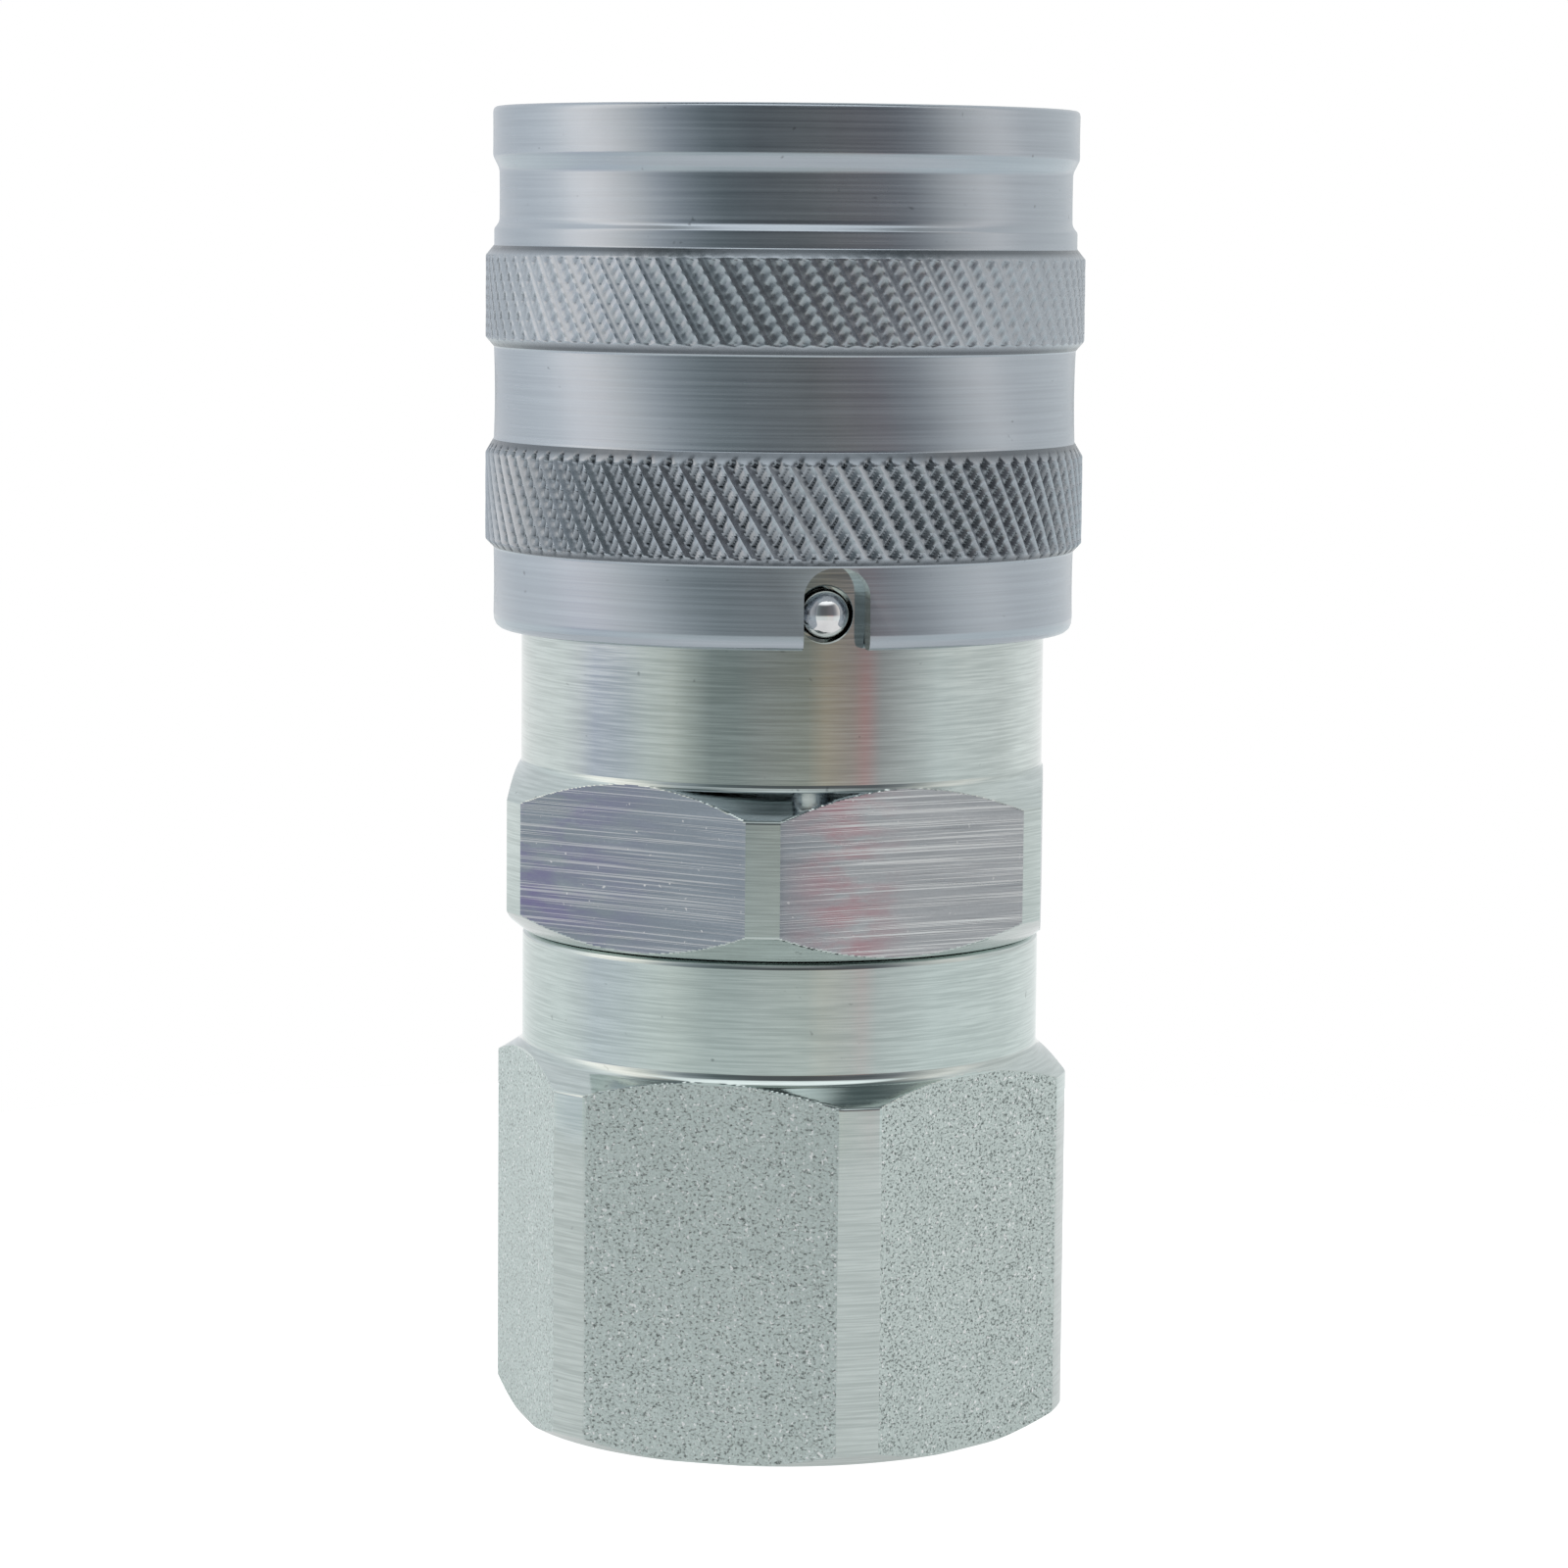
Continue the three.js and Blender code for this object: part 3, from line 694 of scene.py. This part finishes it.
def rear_adapter():
    outer = [
        (17.2, 0, 0),
        (20.7, 0, 0.15),
        (22.8, 1.2, 0.15),
        (22.8, 27.7, 0.12),
        (20.55, 29.15, 0.25),
        (20.25, 29.6, 0.25),
        (20.25, 38.15, 0.25),
        (19.9, 38.4, 0.1),
        (18.4, 38.4, 0),
    ]
    inner = [
        (16.9, 38.4, 0),
        (16.3, 38.4, 0.1),
        (16.3, 40.7, 0.1),
        (17.2, 41.2, 0.1),
        (17.2, 51.3, 0.1),
        (16.6, 51.9, 0.1),
        (14.1, 51.9, 0.15),
        (14.1, 28, 0),
        (11.5, 28, 0.15),
        (11.5, 20, 0.1),
        (PORT_R, 20, 0),
        (PORT_R, 1.35, 0.1),
        (13.4, 0, 0.1),
        (14.9, 0, 0),
    ]
    outer_points = divided(rounded(outer), [(0, 1.3, 0.16), (27.5, 30.2, 0.12), (1.3, 27.5, 3)])
    inner_points = divided(rounded(inner), [(0.9, 19.9, THREAD_PITCH / 9)])

    def bore(turn, radius, z):
        low, high = THREAD_RISE
        in_thread = radius < PORT_R + 0.04 and low < z < high
        return threaded(turn, radius, z) if in_thread else np.full(len(turn), radius)

    rings = rings_of(outer_points, ADAPTER_END, HEX_COLUMNS, hexagon(ADAPTER_CORNER_TURN))
    rings += rings_of(inner_points, ADAPTER_END, BORE_COLUMNS, bore)
    piece = skinned("rear_adapter_shell", rings)
    materials = (zinc_turned, zinc_grained)
    finished(piece, "rear_adapter", "bright_zinc", *materials, edge_turn=HEX_EDGE_TURN)
    mark_flats(piece, ADAPTER_CORNER_TURN, ADAPTER_END + 0.2, ADAPTER_END + 29, 1)


def valve_body():
    outer = [
        (19.2, 0.0, 0),
        (20.3, 0.0, 0.12),
        (22.95, 2.1, 0.12),
        (22.95, 10.8, 0.12),
        (20.4, 12.95, 0.3),
        (20.4, 31.5, 0.2),
        (18.75, 31.5, 0.1),
        (18.75, 60.95, 0),
        (17.9, 60.95, 0),
        (17.9, 62.25, 0),
        (18.75, 62.25, 0.1),
        (18.75, 63.0, 0.1),
        (18.35, 63.4, 0.1),
        (17.4, 63.4, 0),
    ]
    inner = [
        (16.4, 63.4, 0),
        (15.6, 63.4, 0.1),
        (15.1, 62.7, 0.15),
        (15.1, 53.6, 0.05),
        (17.2, 53.6, 0),
        (17.2, 49.5, 0),
        (15.1, 49.5, 0.05),
        (15.1, 47.0, 0.1),
        (16.6, 47.0, 0.1),
        (16.6, 19.5, 0.1),
        (17.35, 19.5, 0),
        (17.35, 2.3, 0.1),
        (18.25, 2.3, 0),
        (18.25, 0.0, 0.1),
        (18.6, 0.0, 0),
    ]
    outer_points = divided(rounded(outer), [(-1, 2.2, 0.16), (10.6, 13.3, 0.12), (2.2, 10.6, 2)])
    rings = rings_of(outer_points, BODY_END, HEX_COLUMNS, hexagon(BODY_CORNER_TURN))
    rings += rings_of(rounded(inner), BODY_END, BORE_COLUMNS)
    piece = skinned("valve_body_shell", rings)

    # The mouth of a locking ball's pocket is smaller than the ball, which stays in the wall
    pocket_r = node_height("locking_ball_01") / 2 + 0.12
    pocket = [(2.1, 14), (2.1, 15.3), (pocket_r, 16), (pocket_r, 20)]
    hole = [(2.1, 17.7), (2.1, 20.25), (2.3, 20.5), (2.3, 22)]
    cutters = []
    for number in range(1, LOCKING_BALLS + 1):
        cutters.append(drill(pocket, *ball_place(f"locking_ball_{number:02d}"), columns=32))
    cutters.append(drill(hole, *ball_place("sleeve_lock_ball"), columns=64))
    cut_away(piece, cutters)
    materials = (zinc_turned, zinc_milled)
    finished(piece, "valve_body", "bright_zinc", *materials, edge_turn=HEX_EDGE_TURN)
    mark_flats(piece, BODY_CORNER_TURN, BODY_END + 0.2, BODY_END + 12.9, 1)


def ball_place(node):
    """Angle round the axis, in degrees, and height of a ball's centre."""
    centre = node_centre(node)
    return math.degrees(math.atan2(centre.x, -centre.y)), centre.z


def locking_sleeve():
    outer = [
        (21.0, 0.0, 0),
        (BAND_R, 0.0, 1.1),
        (BAND_R, 6.25, 0.08),
        (KNURL_R, 6.9, 0.1),
        (KNURL_R, 13.6, 0.1),
        (BAND_R, 14.7, 0.08),
        (BAND_R, 21.75, 0.08),
        (KNURL_R, 22.5, 0.1),
        (KNURL_R, 28.8, 0.1),
        (BAND_R, 29.6, 0.08),
        (BAND_R, 30.85, 0.12),
        (22.2, 31.35, 0.3),
        (22.2, 35.4, 0.3),
        (22.7, 36.4, 0.2),
        (22.7, 40.2, 0.45),
        (21.4, 40.2, 0),
    ]
    inner = [
        (20.9, 40.2, 0),
        (20.4, 40.2, 0.1),
        (19.95, 39.8, 0.1),
        (19.95, 32.98, 0.1),
        (18.95, 31.98, 0.2),
        (18.95, 27.35, 0.1),
        (20.55, 27.35, 0.1),
        (20.55, 0.25, 0.1),
        (20.75, 0.0, 0.05),
        (20.9, 0.0, 0),
    ]
    zones = [(knurl["low"], knurl["high"]) for knurl in KNURLS]
    outer_points = levelled(rounded(outer, steps=4), zones, KNURL_LEVEL)
    lean = -KNURL_LEAN / KNURL_R
    rings = rings_of(outer_points, SLEEVE_END, SLEEVE_COLUMNS, knurled, lean)
    rings += rings_of(rounded(inner), SLEEVE_END, SLEEVE_BORE_COLUMNS, lean=lean)
    piece = skinned("locking_sleeve_shell", rings)
    cut_away(piece, [notch_cutter()])
    finished(piece, "locking_sleeve", "zinc_nickel", sleeve_plate, knurl_plate)
    # The knurls' faces take knurl_plate, with its painted shade in the grooves.
    for polygon in piece.data.polygons:
        x, y, z = polygon.center / MM
        if knurl_at(z - SLEEVE_END) and math.hypot(x, y) > BAND_R + 0.05:
            polygon.material_index = 1


def notch_cutter():
    """The cut-out in the sleeve's rear edge, open below and with rounded corners above."""
    middle = NOTCH_HALF_WIDTH - NOTCH_CORNER_R
    top = NOTCH_RISE - NOTCH_CORNER_R
    outline = [(-NOTCH_HALF_WIDTH, -1.0), (NOTCH_HALF_WIDTH, -1.0)]
    for side, start in ((middle, 0), (-middle, math.pi / 2)):
        for angle in np.linspace(start, start + math.pi / 2, 13):
            x = side + NOTCH_CORNER_R * math.cos(angle)
            outline.append((x, top + NOTCH_CORNER_R * math.sin(angle)))
    rings = []
    for distance in (18, 25):
        ring = turned_about([(x, -distance, SLEEVE_END + z) for x, z in outline], NOTCH_TURN)
        rings.append(np.array(ring) * MM)
    return skinned("notch", rings, closed=False)


# ---------------------------------------------------------------- balls, rings and seals
def ball(node, material, name):
    """A ball in its CAD node's place."""
    work = bmesh.new()
    bmesh.ops.create_icosphere(work, subdivisions=5, radius=node_height(node) / 2 * MM)
    bmesh.ops.translate(work, verts=work.verts, vec=node_centre(node) * MM)
    mesh = bpy.data.meshes.new(name)
    work.to_mesh(mesh)
    work.free()
    piece = bpy.data.objects.new(name, mesh)
    bpy.context.scene.collection.objects.link(piece)
    finished(piece, node, "ball_steel", material)


def o_ring(node):
    """A round-section ring that fills its CAD node's section."""
    inner, outer = node_radii(node)
    low, high = node_span(node)
    angle = FULL_TURN * np.arange(SEAL_SIDES) / SEAL_SIDES
    middle, half = (inner + outer) / 2, (outer - inner) / 2
    reach = (high - low) / 2
    points = [(middle + half * math.cos(a), reach + reach * math.sin(a)) for a in angle]
    piece = skinned(f"{node}_ring", rings_of(points, low, SMALL_COLUMNS))
    finished(piece, node, "nitrile_rubber", black_rubber)


def flat_ring(node, slot, material, ease=0.15):
    """A ring with a rectangular section and eased edges."""
    inner, outer = node_radii(node)
    low, high = node_span(node)
    tall = high - low
    middle = (inner + outer) / 2
    corners = [
        (middle, 0, 0),
        (outer, 0, ease),
        (outer, tall, ease),
        (inner, tall, ease),
        (inner, 0, ease),
        (middle - 0.01, 0, 0),
    ]
    piece = skinned(f"{node}_ring", rings_of(rounded(corners), low, SMALL_COLUMNS))
    finished(piece, node, slot, material)


def retaining_ring():
    """The open snap ring behind the sleeve's front rim, with its gap at the back."""
    inner, outer = node_radii("sleeve_retaining_ring")
    low, high = node_span("sleeve_retaining_ring")
    gap = math.radians(12)
    ease = 0.12
    section = [
        (inner + ease, low),
        (outer - ease, low),
        (outer, low + ease),
        (outer, high - ease),
        (outer - ease, high),
        (inner + ease, high),
        (inner, high - ease),
        (inner, low + ease),
    ]
    rings = []
    for turn in np.linspace(-math.pi + gap, math.pi - gap, SNAP_RING_STEPS):
        ring = [(r * math.sin(turn), -r * math.cos(turn), z) for r, z in section]
        rings.append(np.array(ring) * MM)
    piece = skinned("sleeve_snap_ring", rings, closed=False)
    finished(piece, "sleeve_retaining_ring", "spring_steel", spring_wire)


def turned_part(node, name, corners, solid=False):
    """A turned steel part from corners with z from its node's lowest point."""
    rings = rings_of(rounded(corners), node_span(node)[0], SMALL_COLUMNS)
    piece = skinned(name, rings, closed=not solid)
    finished(piece, node, "machined_steel", face_steel)


def front_closing_ring():
    tall = node_height("front_closing_ring")
    corners = [
        (14.5, 0, 0),
        (16.4, 0, 0.15),
        (16.4, 1.7, 0.15),
        (14.95, 1.7, 0.1),
        (14.95, tall, 0.3),
        (12.75, tall, 0.12),
        (12.75, 0, 0.15),
        (14.4, 0, 0),
    ]
    turned_part("front_closing_ring", "closing_ring_turned", corners)


def valve_sleeve():
    low, high = node_span("valve_sleeve")
    face, shoulder = high - low, VALVE_SHOULDER - low
    corners = [
        (10.5, 0, 0),
        (10.9, 0, 0.1),
        (11.2, 0.6, 0.1),
        (11.2, shoulder, 0.1),
        (12.6, shoulder, 0.15),
        (12.6, face, 0.12),
        (9.65, face, 0.1),
        (9.65, face - 8.2, 0.3),
        (9.9, face - 8.8, 0.3),
        (9.9, 0, 0.1),
        (10.4, 0, 0),
    ]
    turned_part("valve_sleeve", "valve_sleeve_turned", corners)


def valve_stem():
    face = node_height("valve_stem")
    corners = [
        (0.01, 0, 0),
        (3.5, 0, 0.1),
        (3.95, 0.5, 0.1),
        (3.95, 11.65, 0),
        (6, 11.65, 0.15),
        (6, 14.5, 0.3),
        (4.2, 16, 0.6),
        (4.2, 67, 1.5),
        (9.5, 73, 0.8),
        (9.5, face - 5.1, 0.1),
        (7.85, face - 5.1, 0.1),
        (7.85, face - 3.1, 0.1),
        (9.5, face - 3.1, 0.1),
        (9.5, face, 0.12),
        (0.01, face, 0),
    ]
    turned_part("valve_stem", "stem_turned", corners, solid=True)


def stem_nut():
    """A hexagon nut with chamfered corners."""
    tall = node_height("stem_nut")
    corner_r = node_radii("stem_nut")[1]

    def shape(turn, radius, _z):
        off = turn % (math.pi / 3) - math.pi / 6
        return np.minimum(NUT_ACROSS_FLATS / 2 / np.cos(off), radius)

    outer = [
        (5.2, 0, 0),
        (6.4, 0, 0.1),
        (corner_r, 0.65, 0.05),
        (corner_r, tall - 0.65, 0.05),
        (6.4, tall, 0.1),
        (5.2, tall, 0),
    ]
    inner = [(4.8, tall, 0), (4.1, tall - 0.4, 0), (4.1, 0.4, 0), (4.8, 0, 0)]
    zones = [(0, 0.7, 0.12), (tall - 0.7, tall, 0.12)]
    points = divided(rounded(outer), zones) + rounded(inner)
    rings = rings_of(points, node_span("stem_nut")[0], NUT_COLUMNS, shape)
    piece = skinned("stem_nut_hexagon", rings)
    finished(piece, "stem_nut", "machined_steel", face_steel)


def stem_spider():
    """The disc that holds the stem, with a circle of holes for the oil."""
    hole_count, circle_r, hole_r = 8, 8.9, 2.5
    low, high = node_span("stem_spider")
    tall = high - low
    corners = [
        (9, 0, 0),
        (13.95, 0, 0.3),
        (13.95, tall, 0.3),
        (4.1, tall, 0.2),
        (4.1, 0, 0.3),
        (8.9, 0, 0),
    ]
    piece = skinned("stem_spider_disc", rings_of(rounded(corners), low, SMALL_COLUMNS))
    holes = []
    angle = np.linspace(0, FULL_TURN, 40, endpoint=False)
    for i in range(hole_count):
        rings = []
        for rise, r in ((-0.5, 2.9), (-0.01, 2.85), (0.35, hole_r), (tall + 1, hole_r)):
            level = [(r * math.cos(a), r * math.sin(a) - circle_r, low + rise) for a in angle]
            rings.append(np.array(turned_about(level, i * 360 / hole_count)) * MM)
        holes.append(skinned("hole", rings, closed=False))
    cut_away(piece, holes)
    finished(piece, "stem_spider", "machined_steel", face_steel)


def spring_seat():
    """The seat behind the valve, from corners with z in the frame."""
    low = node_span("spring_seat")[0]
    corners = [
        (12.3, 33.15, 0.1),
        (13.95, 33.15, 0.1),
        (13.95, 52, 0.1),
        (17.25, 52, 0.1),
        (17.25, 54, 0.05),
        (15.6, 54, 0.05),
        (15.6, 56.4, 0.05),
        (17.25, 56.4, 0.05),
        (17.25, 57.9, 0.1),
        (11.35, 57.9, 0.15),
        (11.35, 56.6, 0.05),
        (13.3, 56.6, 0.05),
        (13.3, 53.4, 0.05),
        (11.35, 53.4, 0.05),
        (11.35, 52, 0.1),
        (12.3, 52, 0.1),
        (12.3, 40, 0),
    ]
    shifted = [(12.3, 39.9 - low, 0)] + [(r, z - low, cut) for r, z, cut in corners]
    turned_part("spring_seat", "spring_seat_turned", shifted)


def coil_spring(node, name, turns, wire_r):
    """A compression spring with closed, ground ends."""
    low, high = node_span(node)
    middle = node_radii(node)[1] - wire_r
    closed_rise = 2 * wire_r * 1.05
    open_rise = (high - low - 2 * wire_r - 2 * closed_rise) / (turns - 2)
    around = FULL_TURN * np.arange(WIRE_SIDES) / WIRE_SIDES
    radius = middle + wire_r * np.cos(around)
    count = turns * COIL_STEPS
    rings = []
    for i in range(count + 1):
        turn = i / count * turns
        z = min(turn, 1) * closed_rise + min(max(turn - 1, 0), turns - 2) * open_rise
        z += max(turn - turns + 1, 0) * closed_rise
        angle = FULL_TURN * turn
        level = low + wire_r + z + wire_r * np.sin(around)
        ring = np.stack((radius * math.sin(angle), -radius * math.cos(angle), level), 1)
        rings.append(ring * MM)
    piece = skinned(name, rings, closed=False)
    finished(piece, node, "spring_steel", spring_wire)
    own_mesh(piece)


rear_adapter()
valve_body()
locking_sleeve()
ball("sleeve_lock_ball", ball_polish, "lock_ball_polished")
for number in range(1, LOCKING_BALLS + 1):
    ball(f"locking_ball_{number:02d}", ball_polish, f"nipple_ball_{number:02d}")
retaining_ring()
flat_ring("sleeve_thrust_washer", "machined_steel", face_steel)
front_closing_ring()
valve_sleeve()
valve_stem()
stem_nut()
stem_spider()
spring_seat()
for seal in ("stem_head_seal", "nose_seal", "valve_tail_seal", "spring_seat_seal", "body_joint_seal"):
    o_ring(seal)
for backup in ("nose_backup_ring", "valve_tail_backup_ring"):
    flat_ring(backup, "ptfe", white_ptfe, ease=0.08)
coil_spring("sleeve_spring", "sleeve_coil", 5, 0.6)
coil_spring("closing_ring_spring", "closing_ring_coil", 5, 0.7)
coil_spring("valve_spring", "valve_coil", 6, 0.5)


# ---------------------------------------------------------------- studio
FLOOR_R = 150
FLOOR_SIDES = 96
FLOOR_GLOW = (0.52, 1.0)  # towards the coupler, and towards the camera


def floor():
    """A round pale floor under the coupler, that looks white and throws back less light."""
    angle = FULL_TURN * np.arange(FLOOR_SIDES) / FLOOR_SIDES
    points = [(FLOOR_R * math.sin(a), FLOOR_R * math.cos(a), -0.05) for a in angle]
    mesh = bpy.data.meshes.new("floor")
    mesh.from_pydata(np.array(points) * MM, [], [list(range(FLOOR_SIDES))[::-1]])
    piece = bpy.data.objects.new("floor", mesh)
    bpy.context.scene.collection.objects.link(piece)
    n = Surface("floor_paint")
    mottle = n.cells((25, 25, 25), detail=2)
    tone = n.mixed(n.scaled(mottle, 0.0, 1.0), (0.40, 0.40, 0.40, 1), (0.42, 0.42, 0.42, 1))
    seen = n.add("ShaderNodeLightPath").outputs["Is Camera Ray"]
    paint = n.set(
        Base_Color=tone,
        Roughness=0.8,
        Emission_Color=(1, 1, 1, 1),
        Emission_Strength=n.scaled(seen, *FLOOR_GLOW, 0.0, 1.0),
    )
    mesh.materials.append(paint)


# Light round the horizon as (azimuth, color), from the camera's side at 0 towards +X.
# The low ring is met by the lower surfaces, which the camera looks down on more.
LOW_LIGHT = [
    (-150, (0.96, 0.96, 0.96)),
    (-112, (0.95, 0.95, 0.96)),
    (-100, (0.82, 0.81, 0.86)),
    (-90, (0.62, 0.63, 0.76)),
    (-74, (0.60, 0.62, 0.70)),
    (-60, (0.68, 0.70, 0.70)),
    (-49, (0.66, 0.67, 0.64)),
    (-41, (0.48, 0.50, 0.48)),
    (-31, (0.29, 0.32, 0.32)),
    (-20, (0.27, 0.30, 0.30)),
    (-8, (0.33, 0.33, 0.32)),
    (11, (0.34, 0.33, 0.29)),
    (19, (0.48, 0.39, 0.31)),
    (30, (0.43, 0.34, 0.31)),
    (37, (0.52, 0.31, 0.31)),
    (44, (0.43, 0.41, 0.42)),
    (58, (0.58, 0.58, 0.59)),
    (72, (0.74, 0.76, 0.77)),
    (112, (0.80, 0.80, 0.80)),
    (130, (0.94, 0.94, 0.94)),
    (150, (0.96, 0.96, 0.96)),
]
LEVEL_LIGHT = [
    (-150, (0.78, 0.80, 0.83)),
    (-124, (0.80, 0.83, 0.86)),
    (-104, (0.98, 0.99, 1.00)),
    (-90, (1.40, 1.32, 1.27)),
    (-78, (1.34, 1.24, 1.18)),
    (-64, (0.95, 0.92, 0.88)),
    (-52, (0.55, 0.57, 0.60)),
    (-42, (0.33, 0.36, 0.39)),
    (-28, (0.16, 0.19, 0.20)),
    (-12, (0.12, 0.13, 0.14)),
    (8, (0.12, 0.125, 0.13)),
    (24, (0.15, 0.145, 0.155)),
    (42, (0.16, 0.165, 0.18)),
    (54, (0.27, 0.275, 0.295)),
    (68, (0.62, 0.61, 0.60)),
    (88, (1.00, 0.95, 0.92)),
    (106, (0.76, 0.76, 0.76)),
    (128, (0.78, 0.79, 0.79)),
    (150, (0.78, 0.80, 0.81)),
]
# Upward part of a direction, where one light passes into the next
BELOW_SLOPE = (-0.10, -0.175)
LOW_SLOPE = (-0.093, -0.063)
FRONT_SLOPE = (0.6, 0.78)
ZENITH_SLOPE = (0.7, 0.92)
# Part of a direction that points away from the camera, where a light above begins and is full
FRONT_DEPTH = (-0.12, -0.26)
BACK_DEPTH = (0.36, 0.54)
BACK_SPREAD = 0.3  # how far the light behind comes round the sides

BELOW_LIGHT = (0.86, 0.92, 0.92, 1)
BELOW_SHARE = 0.68
FRONT_LIGHT = (1.18, 1.21, 1.23, 1)
BACK_LIGHT = (1.0, 1.02, 1.03, 1)
ZENITH_DIM = (0.16, 0.19, 0.20, 1)


def horizon_ring(n, stops, azimuth):
    """The light of (azimuth, color) stops, at an azimuth from 0 to 1."""
    made = n.add("ShaderNodeValToRGB", {"Fac": azimuth})
    elements = made.color_ramp.elements
    for element, (angle, color) in zip((elements[0], elements[1]), (stops[0], stops[-1])):
        element.position = angle / 360 + 0.5
        element.color = (*color, 1)
    for angle, color in stops[1:-1]:
        elements.new(angle / 360 + 0.5).color = (*color, 1)
    return made.outputs[0]


def studio_world():
    """Soft light from the sides, from behind and from above in front, and dim straight above."""
    world = bpy.data.worlds.new("studio")
    bpy.context.scene.world = world
    world.use_nodes = True
    n = Nodes(world.node_tree)
    x, y, z = n.axes("Generated")

    turn = n.maths("ARCTAN2", x, n.maths("MULTIPLY", y, -1.0))
    azimuth = n.scaled(turn, 0.0, 1.0, -math.pi, math.pi)
    below = n.scaled(z, 0.0, BELOW_SHARE, *BELOW_SLOPE)
    low_ring = n.mixed(below, horizon_ring(n, LOW_LIGHT, azimuth), BELOW_LIGHT)
    level_ring = horizon_ring(n, LEVEL_LIGHT, azimuth)
    horizon = n.mixed(n.eased(z, *LOW_SLOPE), low_ring, level_ring)

    behind = n.maths("MULTIPLY_ADD", n.maths("ABSOLUTE", x), BACK_SPREAD, y)
    overhead = n.mixed(n.eased(behind, *BACK_DEPTH), ZENITH_DIM, BACK_LIGHT)
    around = n.mixed(n.eased(z, *ZENITH_SLOPE), horizon, overhead)
    front = n.maths("MULTIPLY", n.eased(y, *FRONT_DEPTH), n.eased(z, *FRONT_SLOPE))
    around = n.mixed(front, around, FRONT_LIGHT)

    seen = n.add("ShaderNodeLightPath").outputs["Is Camera Ray"]
    back = n.tree.nodes["Background"]
    n.put(back.inputs["Color"], n.mixed(seen, around, (1, 1, 1, 1)))
    n.put(back.inputs["Strength"], 1.0)


# Camera, with lengths as shares of the coupler's height and angles in degrees
LENS = 114.5
SENSOR_WIDTH = 36
CAMERA_DISTANCE = 3.811
CAMERA_SIDE = 0.0022
AIM_HEIGHT = 0.4855
CAMERA_PITCH = 6.45
CAMERA_LEAN = 0.5


def camera():
    """A long lens, a little above the coupler's middle, that looks down and leans slightly."""
    data = bpy.data.cameras.new("camera")
    data.lens = LENS
    data.sensor_width = SENSOR_WIDTH
    piece = bpy.data.objects.new("camera", data)
    height = cad_high.z - cad_low.z
    distance = CAMERA_DISTANCE * height
    pitch = math.radians(CAMERA_PITCH)
    aim_z = cad_low.z + AIM_HEIGHT * height
    piece.location = (CAMERA_SIDE * height, -distance, aim_z + distance * math.tan(pitch))
    down = Matrix.Rotation(math.pi / 2 - pitch, 3, "X")
    lean = Matrix.Rotation(math.radians(CAMERA_LEAN), 3, "Z")
    piece.rotation_euler = (down @ lean).to_euler()
    bpy.context.scene.collection.objects.link(piece)
    bpy.context.scene.camera = piece


camera()
floor()
studio_world()
bpy.context.scene.view_settings.view_transform = "Standard"
